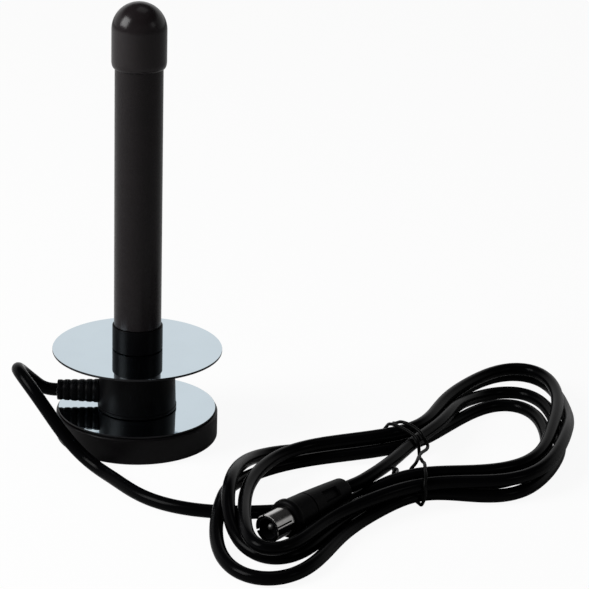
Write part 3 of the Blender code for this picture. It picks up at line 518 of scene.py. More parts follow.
class Piece:
    """One piece, modelled at the origin with Blender's operators and then put in place."""

    def __init__(self, name: str) -> None:
        """Start with no mesh."""
        self.name = name
        self.obj: Optional[bpy.types.Object] = None

    def begin(self, operator: Callable[..., Any], size: float) -> None:
        """Take what an operator adds, and go into edit mode.

        Args:
            operator: The operator.
            size: The size of what it adds.
        """
        self.obj = added(operator, self.name, size=size)
        self.obj.data.name = self.name
        bpy.ops.object.mode_set(mode="EDIT")

    def turn(self, profile: Profile, steps: int) -> "Piece":
        """Draw a profile beside the Z axis by extruding one point, and spin it into a solid.

        Args:
            profile: Points as (radius, height), ending on the axis or where it began.
            steps: Facets round the piece.

        Returns:
            This piece.
        """
        self.begin(bpy.ops.mesh.primitive_plane_add, MM)
        bpy.ops.mesh.select_mode(type="VERT")
        bpy.ops.mesh.select_all(action="SELECT")
        bpy.ops.mesh.merge(type="CENTER")
        bpy.ops.transform.translate(value=(profile[0][0], 0.0, profile[0][1]))
        for (radius, height), (next_radius, next_height) in zip(profile, profile[1:]):
            step = (next_radius - radius, 0.0, next_height - height)
            bpy.ops.mesh.extrude_vertices_move(TRANSFORM_OT_translate={"value": step})
        bpy.ops.mesh.select_all(action="SELECT")
        bpy.ops.mesh.spin(steps=steps, angle=math.tau, center=(0.0, 0.0, 0.0), axis=(0.0, 0.0, 1.0))
        self.close()
        return self

    def close(self) -> None:
        """Merge doubled points, turn the faces outwards and leave edit mode."""
        bpy.ops.mesh.select_all(action="SELECT")
        bpy.ops.mesh.remove_doubles(threshold=MERGE)
        bpy.ops.mesh.normals_make_consistent(inside=False)
        bpy.ops.object.mode_set(mode="OBJECT")

    def block(self, size: Triple, place: Triple) -> "Piece":
        """Stretch a cube into a box in edit mode.

        Args:
            size: The box's sides.
            place: Its middle.

        Returns:
            This piece.
        """
        self.begin(bpy.ops.mesh.primitive_cube_add, 1.0)
        bpy.ops.mesh.select_all(action="SELECT")
        bpy.ops.transform.resize(value=size, center_override=(0.0, 0.0, 0.0))
        bpy.ops.transform.translate(value=place)
        bpy.ops.object.mode_set(mode="OBJECT")
        return self

    def activate(self) -> None:
        """Make this the one selected object."""
        deselect()
        bpy.context.view_layer.objects.active = self.obj
        self.obj.select_set(True)

    def pick(self, wanted: FaceTest) -> "Piece":
        """Select faces for edit mode.

        Args:
            wanted: Says from a face's middle and normal whether it is one.

        Returns:
            This piece.
        """
        self.activate()
        bpy.ops.object.mode_set(mode="EDIT")
        bpy.ops.mesh.select_mode(type="FACE")
        bpy.ops.mesh.select_all(action="DESELECT")
        bpy.ops.object.mode_set(mode="OBJECT")
        for face in self.obj.data.polygons:
            if wanted(face.center, face.normal):
                face.select = True
        return self

    def inset(self, border: float, depth: float) -> "Piece":
        """Sink the picked faces, leaving a border.

        Args:
            border: Width of the sloping border.
            depth: How far the faces go in.

        Returns:
            This piece.
        """
        bpy.ops.object.mode_set(mode="EDIT")
        bpy.ops.mesh.inset(thickness=border, depth=-depth, use_boundary=True)
        bpy.ops.object.mode_set(mode="OBJECT")
        return self

    def modify(self, kind: str, **settings: Any) -> "Piece":
        """Add a modifier, set it and apply it.

        Args:
            kind: The modifier's type.
            **settings: Its properties.

        Returns:
            This piece.
        """
        self.activate()
        bpy.ops.object.modifier_add(type=kind)
        made = self.obj.modifiers[-1]
        for key, value in settings.items():
            setattr(made, key, value)
        bpy.ops.object.modifier_apply(modifier=made.name)
        return self

    def soften(self, width: float, segments: int = 3, degrees: float = 40.0) -> "Piece":
        """Round the sharp edges.

        Args:
            width: Width of the rounding.
            segments: Faces across it.
            degrees: Least angle of an edge that is rounded.

        Returns:
            This piece.
        """
        return self.modify(
            "BEVEL", width=width, segments=segments, limit_method="ANGLE", angle_limit=math.radians(degrees),
            use_clamp_overlap=True, harden_normals=False,
        )

    def cut(self, cutter: "Piece") -> "Piece":
        """Cut another piece out of this one, and throw that one away.

        Args:
            cutter: The other piece.

        Returns:
            This piece.
        """
        self.modify("BOOLEAN", operation="DIFFERENCE", solver="EXACT", object=cutter.obj)
        bpy.data.objects.remove(cutter.obj, do_unlink=True)
        return self

    def move(self, place: Matrix) -> "Piece":
        """Put the piece in place and keep the place in its mesh.

        Args:
            place: The frame that it is put in.

        Returns:
            This piece.
        """
        self.activate()
        self.obj.matrix_world = place
        bpy.ops.object.transform_apply(location=True, rotation=True, scale=True)
        return self

    def dress(self, finish: Finish, body: Body, slot: str, *nodes: str) -> None:
        """Shade, paint and mount the piece.

        Args:
            finish: Its finish.
            body: The body that it rides on.
            slot: The record's material slot; not used.
            *nodes: The frame's nodes that it stands for.
        """
        if self.obj.type == "MESH":
            self.activate()
            bpy.ops.object.shade_smooth_by_angle(angle=SMOOTH_ANGLE)
            self.modify("WEIGHTED_NORMAL", keep_sharp=True, weight=100)
        self.obj.data.materials.append(finish.material())
        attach(self.obj, body.value)
        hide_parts(*nodes)
        LOG.info("%s stands for %s", self.name, ", ".join(nodes))

    def second_finish(self, finish: Finish, wanted: FaceTest) -> None:
        """Give some faces another finish.

        Args:
            finish: That finish.
            wanted: Says from a face's middle and normal whether it takes it.
        """
        self.obj.data.materials.append(finish.material())
        number = len(self.obj.data.materials) - 1
        for face in self.obj.data.polygons:
            if wanted(face.center, face.normal):
                face.material_index = number

    def rim_finish(self, finish: Finish, radius: float, steepest: float) -> None:
        """Give a round plate's edge another finish.

        Args:
            finish: That finish.
            radius: Where the edge begins.
            steepest: How much an edge face may look up or down, as the size of its normal's height.
        """
        def on_edge(middle: Vector, normal: Vector) -> bool:
            """Whether a face belongs to the edge."""
            return middle.xy.length > radius * RIM_SHARE and abs(normal.z) < steepest

        self.second_finish(finish, on_edge)


@dataclass(frozen=True)
class PhotoCamera:
    """Camera where the photograph was taken from."""

    place: Triple = (0.05501, -0.85447, 0.37449)
    pitch_degrees: float = 20.526
    roll_degrees: float = 1.651
    focal_pixels: float = 2600.0
    picture_pixels: float = 589.0
    nearest: float = 0.05
    farthest: float = 30.0

    def build(self) -> None:
        """Add the camera and make it the scene's."""
        camera = added(bpy.ops.object.camera_add, "photo_camera")
        camera.data.lens = self.focal_pixels / self.picture_pixels * camera.data.sensor_width
        camera.data.clip_start = self.nearest
        camera.data.clip_end = self.farthest
        tilt = Matrix.Rotation(math.pi / 2 - math.radians(self.pitch_degrees), 4, "X")
        roll = Matrix.Rotation(math.radians(self.roll_degrees), 4, "Z")
        camera.matrix_world = Matrix.Translation(self.place) @ tilt @ roll
        bpy.context.scene.camera = camera


@dataclass(frozen=True)
class SoftBox:
    """A square lamp that faces the object."""

    name: str
    direction: Triple
    distance: float
    side: float
    radiance: float

    def build(self, target: Vector) -> None:
        """Add the lamp.

        Args:
            target: What it is aimed at.
        """
        lamp = added(bpy.ops.object.light_add, self.name, type="AREA")
        lamp.data.shape = "SQUARE"
        lamp.data.size = self.side
        lamp.data.energy = self.radiance * math.pi * self.side ** 2
        towards = Vector(self.direction).normalized()
        lamp.matrix_world = aimed(target + towards * self.distance, towards)


@dataclass(frozen=True)
class Studio:
    """White table, white surroundings and soft lamps."""

    table_radius: float = 6.0
    table_drop: float = 0.1 * MM
    table_colour: Colour = (0.8, 0.8, 0.8)
    shadow_share: float = 0.07
    ambient: float = 0.16
    ceiling: float = 0.04
    wall_top: float = 0.44
    ceiling_start: float = 0.58
    dim_side: float = 0.2
    dim_side_end: float = 0.45
    white_side_start: float = 0.8
    target: Triple = (0.03, -0.02, 0.06)
    lamps: tuple[SoftBox, ...] = (
        SoftBox("left_box", (-0.8, -0.27, 0.54), 1.2, 0.65, 15.0),
        SoftBox("top_box", (0.1, 0.25, 1.0), 1.3, 0.6, 1.0),
        SoftBox("right_box", (0.9, -0.35, 0.5), 1.4, 0.35, 2.0),
    )

    def build(self) -> None:
        """Add the table, the surroundings and the lamps."""
        self.build_table()
        self.build_surroundings()
        for lamp in self.lamps:
            lamp.build(Vector(self.target))
        bpy.context.scene.view_settings.view_transform = "Standard"

    def build_table(self) -> None:
        """A round table top that keeps the object's shadow and is white to the camera."""
        table = added(
            bpy.ops.mesh.primitive_circle_add, "table_top", vertices=FINE_TURN, radius=self.table_radius,
            fill_type="NGON", location=(0.0, 0.0, -self.table_drop),
        )
        bpy.ops.object.transform_apply(location=True)
        bench = FinishBench("white_table")
        bench.dress(Base_Color=self.table_colour, Roughness=1.0, Specular_IOR_Level=0.0)
        seen = bench.node("ShaderNodeLightPath", output="Is Camera Ray") * (1.0 - self.shadow_share)
        glow = bench.node("ShaderNodeEmission", {}, {"Color": (1.0, 1.0, 1.0), "Strength": 1.0})
        lit = Wire(bench, bench.shader.outputs[0])
        both = bench.node("ShaderNodeMixShader", {}, {0: seen, 1: lit, 2: glow})
        bench.feed(bench.tree.nodes["Material Output"].inputs["Surface"], both)
        table.data.materials.append(bench.material)

    def build_surroundings(self) -> None:
        """In reflections a white wall behind a dim room; all white to the eye, and dimmer as light."""
        world = bpy.data.worlds.new("white_room")
        world.use_nodes = True
        bpy.context.scene.world = world
        bench = ShaderBench(world.node_tree)
        rays = ("Is Camera Ray", "Is Glossy Ray", "Is Transmission Ray")
        camera, glossy, through = (bench.node("ShaderNodeLightPath", output=ray) for ray in rays)
        heading = bench.node("ShaderNodeTexCoord", output="Generated")
        rise = bench.along(heading, (0.0, 0.0, 1.0))
        behind = bench.along(heading, (0.0, 0.5, 0.0)) + 0.5
        walls = bench.ramp(behind, [(self.dim_side_end, self.dim_side), (self.white_side_start, 1.0)])
        room = bench.ramp(rise, [(self.wall_top, 1.0), (self.ceiling_start, self.ceiling)]) * walls
        mirrored = (glossy + through).at_most(1.0) * (1.0 - camera)
        background = world.node_tree.nodes["Background"]
        bench.feed(background.inputs["Color"], (1.0, 1.0, 1.0))
        strength = self.ambient + (1.0 - self.ambient) * camera + mirrored * (room - self.ambient)
        bench.feed(background.inputs["Strength"], strength)


@dataclass
class CableRoute:
    """The line that the cable follows: a lead, seven half turns of a hank, and a tail."""

    radius: float = 2.3 * MM
    table_strand: float = 2.4 * MM
    knot_power: float = 0.75
    span_points: int = 14
    ease_step: float = 3.0 * MM
    ease_rounds: int = 600
    ease_clear: float = 5.3 * MM
    ease_bend: float = 12.0 * MM
    ease_pull: float = 0.02
    ease_straighten: float = 0.15
    ease_share: float = 0.3
    ease_spacing: float = 0.3
    look_rounds: int = 15
    held_ends: int = 4
    near_radii: float = 6.4
    stiffness: float = 300.0
    lead_points: int = 60
    lead_hold: float = 30.0
    end_hold: float = 1e5
    settle_clear: float = 4.8 * MM
    settle_rounds: int = 120
    settle_share: float = 0.5
    sharpen_rounds: int = 2
    nudges_mm: tuple = (((69, -86), (-2.2, 1.6), 28), ((141, 52), (0.5, 4.0), 32))
    fine_points: int = 3
    tie_lift: float = 1.7 * MM
    tie_lift_reach: float = 22.0 * MM
    tie_lift_slope: float = 1.3
    ties_mm: tuple = ((93.9, -15.8), (97.3, -50.2))
    lead_mm: Places = (
        (-28.6, 0, 15.9), (-32.9, 0, 16.5), (-36.8, -1.2, 19.7), (-40, -3.7, 24.2), (-41.9, -7.6, 27.2),
        (-41.2, -12.2, 28.2), (-38.5, -16.5, 27.3), (-34.8, -21.3, 24.3), (-30.4, -25.7, 20),
        (-26.5, -28, 15.4), (-22.9, -29.7, 10.9), (-18.8, -31.6, 6.6), (-14, -34.6, 3.6),
        (-8.5, -40.3, 2.4), (-0.6, -51, 2.4), (8, -60.5, 2.4), (17, -65.7, 2.4), (26, -68.3, 2.4),
        (36, -69, 2.4), (47, -68, 2.4), (58, -66, 2.4), (68.5, -62.8, 2.4), (77.5, -60.5, 2.9),
        (87, -56, 6),
    )
    half_turns_mm: tuple[Places, ...] = (
        ((102.5, -48.5, 8.8), (113, -45, 7.9), (128.5, -39.5, 7.7), (139.5, -30.5, 7.7), (146, -14, 7.7),
         (151, 6.5, 7.7), (151.5, 29, 7.7), (143.5, 51, 7.7), (126, 41, 7.7), (109.8, 12.3, 7.4),
         (105.7, 0.2, 7.2), (95.5, -12, 9.2)),
        ((78, -19, 8.1), (61, -24, 7.6), (50, -37, 7.9), (43, -54, 8.4), (40, -67.5, 8.1), (40, -84, 7.9),
         (42, -101, 8.1), (46.5, -110, 7.6), (55.2, -105.6, 7.1), (66.3, -89.3, 7.3), (84, -68.5, 7.6)),
        ((105, -53, 8.6), (115, -51.5, 7.9), (132.5, -48, 7.7), (142.2, -36.2, 7.7), (149.6, -16.8, 7.9),
         (152.3, 9, 4.5), (153.5, 36, 2.4), (142.5, 57, 2.4), (125, 47.5, 2.4), (106.5, 18, 2.4),
         (102.2, 3, 2.9), (93.5, -10, 4.1)),
        ((76.5, -15.5, 2.9), (58, -16, 2.4), (45, -25, 4), (38.5, -47, 8.6), (35, -71.5, 12.8),
         (35, -79.5, 10), (37.5, -87, 5.5), (43, -98, 2.6), (51, -105, 2.4), (61.5, -98.5, 2.4),
         (79.5, -68.5, 2.9)),
        ((101, -46.5, 4.1), (113, -44.5, 2.7), (128.5, -39, 2.4), (140, -27.5, 2.4), (147, -7, 2.4),
         (147, 7, 2.4), (144.5, 20, 2.4), (137, 31, 2.4), (128.5, 28, 2.4), (112.3, 12, 2.4),
         (103, -2, 2.9), (97, -14, 4.1)),
        ((79, -19.5, 2.9), (63, -24.5, 2.4), (49, -33, 2.4), (36.5, -48.5, 2.7), (34, -78, 7.7),
         (33, -89, 5), (36.5, -108.5, 2.4), (48.5, -119, 2.4), (60.5, -110.5, 2.4), (73, -86.5, 2.4),
         (88, -58.5, 3.1)),
        ((104, -51, 4.1), (115, -52, 2.7), (130, -51, 2.4), (141.5, -32.5, 2.4), (150, -12, 2.4),
         (151, 8.5, 2.4), (148, 30.5, 2.4), (140, 41.5, 2.4), (128, 36, 2.4), (112.5, 13.5, 4.6),
         (107.5, -3.5, 7.4), (99, -16, 9)),
    )
    tail_mm: Places = (
        (95.6, -25.5, 8.6), (92.1, -36.5, 8.9), (86.6, -46.5, 9.2), (80.1, -56, 9.5), (73.2, -64.3, 9.7),
    )

    def guides(self) -> np.ndarray:
        """Every point that the cable is led through."""
        turns = tuple(place for half_turn in self.half_turns_mm for place in half_turn)
        return np.array(self.lead_mm + turns + self.tail_mm) * MM

    def natural_spline(self, points: np.ndarray, per_span: int) -> np.ndarray:
        """Draw the natural cubic spline through points.

        Args:
            points: The points it goes through.
            per_span: Points found on each span.

        Returns:
            Points on the spline, the last given one included.
        """
        count = len(points)
        span = np.linalg.norm(np.diff(points, axis=0), axis=1) ** self.knot_power
        system = np.eye(count)
        right = np.zeros((count, 3))
        for k in range(1, count - 1):
            system[k, k - 1:k + 2] = span[k - 1], 2 * (span[k - 1] + span[k]), span[k]
            right[k] = 6 * ((points[k + 1] - points[k]) / span[k] - (points[k] - points[k - 1]) / span[k - 1])
        bend = np.linalg.solve(system, right)
        found = []
        for k in range(count - 1):
            for step in range(per_span):
                t = step / per_span
                s = 1 - t
                curve = (s ** 3 - s) * bend[k] + (t ** 3 - t) * bend[k + 1]
                found.append(s * points[k] + t * points[k + 1] + span[k] ** 2 / 6 * curve)
        found.append(points[-1])
        return np.array(found)

    @staticmethod
    def lengths(points: np.ndarray) -> np.ndarray:
        """Distance from the first point to each one, along the line."""
        return np.concatenate([[0.0], np.cumsum(np.linalg.norm(np.diff(points, axis=0), axis=1))])

    def evenly(self, points: np.ndarray, step: float) -> np.ndarray:
        """Find the same line with even points.

        Args:
            points: The line.
            step: About how far apart they are to be.

        Returns:
            The even points.
        """
        along = self.lengths(points)
        wanted = np.linspace(0.0, along[-1], int(round(along[-1] / step)) + 1)
        return np.stack([np.interp(wanted, along, points[:, axis]) for axis in range(3)], 1)

    def lowest(self, points: np.ndarray) -> np.ndarray:
        """Find how low a line may lie: on the table, and a little higher where the tie goes under it.

        Args:
            points: The line.

        Returns:
            Each point's lowest height.
        """
        height = np.full(len(points), self.table_strand)
        for x, y in self.ties_mm:
            away = np.hypot(points[:, 0] - x * MM, points[:, 1] - y * MM) / self.tie_lift_reach
            height += self.tie_lift * np.clip(self.tie_lift_slope * (1 - away), 0, 1)
        return height

    @staticmethod
    def push_apart(
        points: np.ndarray, one: np.ndarray, other: np.ndarray, clear: float, share: float, move: np.ndarray
    ) -> None:
        """Add what moves close strands apart.

        Args:
            points: The line.
            one: Numbers of the first points of the close pairs.
            other: Numbers of their second points.
            clear: Least distance of two strands' centres.
            share: Share of the lack that is made up at once.
            move: The moves that are added to.
        """
        between = points[one] - points[other]
        away = np.linalg.norm(between, axis=1, keepdims=True)
        push = between * np.maximum(0, clear - away) / np.maximum(away, TINY) * share
        np.add.at(move, one, push)
        np.add.at(move, other, -push)

    def eased(self, points: np.ndarray) -> np.ndarray:
        """Open tight bends and move strands apart, keeping the line's length and its two ends.

        Args:
            points: The line, with even steps.

        Returns:
            The eased line.
        """
        step = self.lengths(points)[-1] / (len(points) - 1)
        home = points.copy()
        free = np.ones((len(points), 1))
        free[:self.held_ends] = 0
        free[-self.held_ends:] = 0
        order = np.arange(len(points))
        near = int(self.near_radii * self.radius / step)
        most_bow = step * step / (2 * self.ease_bend)
        points = points.copy()
        for count in range(self.ease_rounds):
            if count % self.look_rounds == 0:
                apart = np.linalg.norm(points[:, None] - points[None], axis=2)
                far_along = order[:, None] + near < order[None]
                one, other = np.nonzero((apart < self.ease_clear + step) & far_along)
            bow = (points[:-2] + points[2:]) / 2 - points[1:-1]
            size = np.linalg.norm(bow, axis=1, keepdims=True)
            excess = np.maximum(0, size - most_bow) / np.maximum(size, TINY)
            push = bow * (excess / 2 + self.ease_straighten)
            move = np.zeros_like(points)
            move[1:-1] += push
            move[:-2] -= push / 2
            move[2:] -= push / 2
            points += move * free

            move = np.zeros_like(points)
            self.push_apart(points, one, other, self.ease_clear, self.ease_share, move)
            points += move * free

            link = np.diff(points, axis=0)
            size = np.linalg.norm(link, axis=1, keepdims=True)
            pull = link * (size - step) / np.maximum(size, TINY) * self.ease_spacing
            move = np.zeros_like(points)
            move[:-1] += pull
            move[1:] -= pull
            points += move * free
            points += (home - points) * free * self.ease_pull * (1 - count / self.ease_rounds)
            points[:, 2] = np.maximum(points[:, 2], self.lowest(points))
        return points

    def nudged(self, points: np.ndarray) -> np.ndarray:
        """Move each nudge's bundle sideways, most at the nudge's place.

        Args:
            points: The line.

        Returns:
            The moved line.
        """
        moved = points.copy()
        for (x, y), shift, reach in self.nudges_mm:
            away = np.hypot(points[:, 0] - x * MM, points[:, 1] - y * MM) / (reach * MM)
            moved[:, :2] += np.outer(np.clip(1 - away ** 2, 0, 1) ** 2, shift) * MM
        return moved

    def settled(self, points: np.ndarray) -> np.ndarray:
        """Let the line bend evenly, as a stiff cable does, with its strands kept apart.

        Args:
            points: The eased line.

        Returns:
            The settled line.
        """
        points = self.nudged(points)
        count = len(points)
        hold = np.ones((count, 1))
        hold[:self.lead_points] = self.lead_hold
        hold[:self.held_ends] = self.end_hold
        hold[-self.held_ends:] = self.end_hold
        bend = np.diff(np.eye(count), 2, axis=0)
        answer = np.linalg.inv(np.diag(hold[:, 0]) + self.stiffness * bend.T @ bend)
        home = points.copy()
        for _ in range(self.sharpen_rounds):
            home += points - answer @ (hold * home)
        order = np.arange(count)
        near = int(self.near_radii * self.radius / self.ease_step)
        far_along = order[:, None] + near < order[None]
        push = np.zeros_like(points)
        for _ in range(self.settle_rounds):
            line = answer @ (hold * home + push)
            apart = np.linalg.norm(line[:, None] - line[None], axis=2)
            one, other = np.nonzero((apart < self.settle_clear) & far_along)
            self.push_apart(line, one, other, self.settle_clear, self.settle_share, push)
            push[:, 2] += np.maximum(0, self.lowest(line) - line[:, 2]) * self.settle_share
        line[:, 2] = np.maximum(line[:, 2], self.lowest(line))
        return line

    def line(self) -> np.ndarray:
        """The whole cable's centre line, from the boot to the plug."""
        rough = self.natural_spline(self.guides(), self.span_points)
        return self.settled(self.eased(self.evenly(rough, self.ease_step)))

    def fine_line(self, line: np.ndarray) -> np.ndarray:
        """The same line with closer points, so that bends look round."""
        return self.natural_spline(line, self.fine_points)


def wire_curve(name: str, points: np.ndarray, radius: float, sides_step: int) -> Piece:
    """A round wire along points, as a curve of one open spline.

    Args:
        name: The piece's name.
        points: Its centre line.
        radius: Its radius.
        sides_step: Its bevel resolution; it has 4 + 2 times as many sides.

    Returns:
        The piece.
    """
    curve = bpy.data.curves.new(name, "CURVE")
    curve.dimensions = "3D"
    curve.bevel_depth = radius
    curve.bevel_resolution = sides_step
    curve.use_fill_caps = True
    spline = curve.splines.new("POLY")
    spline.points.add(len(points) - 1)
    spline.points.foreach_set("co", np.column_stack([points, np.ones(len(points))]).ravel())
    spline.use_smooth = True
    piece = Piece(name)
    piece.obj = bpy.data.objects.new(name, curve)
    bpy.context.scene.collection.objects.link(piece.obj)
    return piece


@dataclass
class SubAssembly:
    """A group of pieces and the finishes that they are dressed in."""

    finishes: Finishes


@dataclass
class Lead(SubAssembly):
    """The coaxial lead and the wire that ties its hank."""

    length: float = 1.748
    start: Triple = (-28.6 * MM, 0.0, 15.9 * MM)
    sides_step: int = 8
    tie_radius: float = 0.6 * MM
    tie_space: float = 0.5 * MM
    tie_low: float = 0.9 * MM
    tie_reach: float = 9.5 * MM
    tie_turn_step: float = 30.0
    tie_span_points: int = 6
    upper: Triple = (93.9, -15.8, 130)
    lower: Triple = (97.3, -50.2, -58)
    over_upper: tuple = ((45, -2.6), (140, -2.6))
    round_lower: tuple = ((135, 1.2), (375, -2.2))
    round_upper: tuple = ((150, 1.6), (-110, 0.8))
    behind_lower: tuple = ((150, -5.5), (210, -5.5))
    loose_end_mm: Places = ((91.4, -6.4, 9.4),)
    first_crossing_mm: Places = ((102.8, -21.6, 8.6), (100.4, -33.0, 10.0))
    left_crossing_mm: Places = ((91.4, -25.5, 1.0), (92.0, -36.5, 4.2))
    second_crossing_mm: Places = (
        (100.9, -57.4, 11.8), (100.8, -54.0, 12.7), (100.8, -49.6, 12.9),
        (100.5, -40.5, 10.0), (100.3, -32.5, 7.4), (100.1, -24.7, 5.6),
    )
    route: CableRoute = field(default_factory=CableRoute)

    def build(self) -> tuple[Piece, Piece]:
        """Make the cable and its tie.

        Returns:
            The cable and the tie.
        """
        line = self.route.line()
        cable = wire_curve("coaxial_lead", self.route.fine_line(line), self.route.radius, self.sides_step)
        cable.dress(self.finishes.cable, Body.BASE, "cable_sheath", "cable_lead", "cable_hank", "cable_tail")
        tie = wire_curve("wire_tie_twist", self.tie_line(line), self.tie_radius, self.sides_step // 2)
        tie.dress(self.finishes.tie, Body.BASE, "tie_black", "wire_tie")
        return cable, tie

    @staticmethod
    def bundle_axes(bundle: Triple) -> tuple[np.ndarray, np.ndarray, np.ndarray]:
        """Find a bundle's axes on the table.

        Args:
            bundle: Its place in millimetres and its outward heading in degrees.

        Returns:
            Its middle, its outward direction and the direction along it.
        """
        turn = math.radians(bundle[2])
        middle = np.array([bundle[0] * MM, bundle[1] * MM, 0.0])
        out = np.array([math.cos(turn), math.sin(turn), 0.0])
        return middle, out, np.array([-out[1], out[0], 0.0])

    def strands_at(self, line: np.ndarray, bundle: Triple, along: float) -> np.ndarray:
        """Find the strands that cross a bundle.

        Args:
            line: The cable's line.
            bundle: The bundle's place and outward heading.
            along: Where along the bundle they cross.

        Returns:
            Their centres, as (outwards, height).
        """
        middle, out, lengthwise = self.bundle_axes(bundle)
        offset = line - middle
        side = offset @ lengthwise - along
        crossing = np.nonzero((side[:-1] < 0) != (side[1:] < 0))[0]
        share = (side[crossing] / (side[crossing] - side[crossing + 1]))[:, None]
        spots = offset[crossing] * (1 - share) + offset[crossing + 1] * share
        spots = np.stack([spots @ out, spots[:, 2]], 1)
        return spots[np.abs(spots[:, 0]) < self.tie_reach]

    def wrap(self, line: np.ndarray, bundle: Triple, start: Sequence[float], end: Sequence[float]) -> list:
        """Wire points round a bundle.

        Args:
            line: The cable's line.
            bundle: The bundle's place and outward heading.
            start: Where the wrap starts, as (degrees round the bundle, millimetres along it).
            end: Where it ends.

        Returns:
            The points.
        """
        middle, out, lengthwise = self.bundle_axes(bundle)
        count = max(1, round(abs(end[0] - start[0]) / self.tie_turn_step))
        clear = self.route.radius + self.tie_radius + self.tie_space
        points = []
        for k in range(count + 1):
            turn = math.radians(start[0] + (end[0] - start[0]) * k / count)
            along = (start[1] + (end[1] - start[1]) * k / count) * MM
            facing = np.array([math.cos(turn), math.sin(turn)])
            strands = self.strands_at(line, bundle, along)
            spot = strands[np.argmax(strands @ facing)] + clear * facing
            height = max(spot[1], self.tie_low)
            points.append(middle + out * spot[0] + lengthwise * along + np.array([0, 0, height]))
        return points

    def tie_line(self, line: np.ndarray) -> np.ndarray:
        """Lead the tie over the upper bundle, round the lower, back round the upper and behind the lower.

        Args:
            line: The cable's line.

        Returns:
            The tie's centre line.
        """
        stages = (
            (self.loose_end_mm, self.upper, self.over_upper),
            (self.first_crossing_mm, self.lower, self.round_lower),
            (self.second_crossing_mm, self.upper, self.round_upper),
            (self.left_crossing_mm, self.lower, self.behind_lower),
        )
        points = []
        for spots, bundle, ends in stages:
            points += [np.array(spot) * MM for spot in spots]
            points += self.wrap(line, bundle, *ends)
        smooth = self.route.natural_spline(np.array(points), self.tie_span_points)
        smooth[:, 2] = np.maximum(smooth[:, 2], self.tie_low)
        return smooth


@dataclass
class PuckBase(SubAssembly):
    """Magnetic puck with a mirror plate on top."""

    edge: float = 0.7 * MM
    foot_edge: float = 0.4 * MM
    wall: float = 2.4 * MM
    web: float = 2.4 * MM
    edge_steps: int = 6
    plate_edge: float = 0.08 * MM
    plate_steepest: float = 0.98

    def build(self) -> None:
        """Make the puck's shell and its plate."""
        self.build_shell()
        self.build_plate()

    def build_shell(self) -> None:
        """Hollow puck, open below."""
        low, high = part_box("base_housing")
        inner = high.x - self.wall
        under = high.z - self.web
        shell = [(0.0, high.z)]
        shell += top_corner(high.x, high.z, self.edge, self.edge_steps)
        shell += bottom_corner(high.x, low.z, self.foot_edge, self.edge_steps)
        shell += [(inner, low.z), (inner, under), (0.0, under)]
        puck = Piece("puck_shell").turn(shell, FINE_TURN)
        puck.dress(self.finishes.puck, Body.BASE, "base_black", "base_housing")

    def build_plate(self) -> None:
        """Mirror plate with a dark rim."""
        low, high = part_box("base_plate")
        plate = Piece("puck_mirror").turn(
            [(0.0, high.z), (high.x, high.z), (high.x, low.z), (0.0, low.z)], FINE_TURN
        )
        plate.soften(self.plate_edge)
        plate.dress(self.finishes.mirror, Body.BASE, "mirror_plate", "base_plate")
        plate.rim_finish(self.finishes.rim, high.x - self.plate_edge, self.plate_steepest)


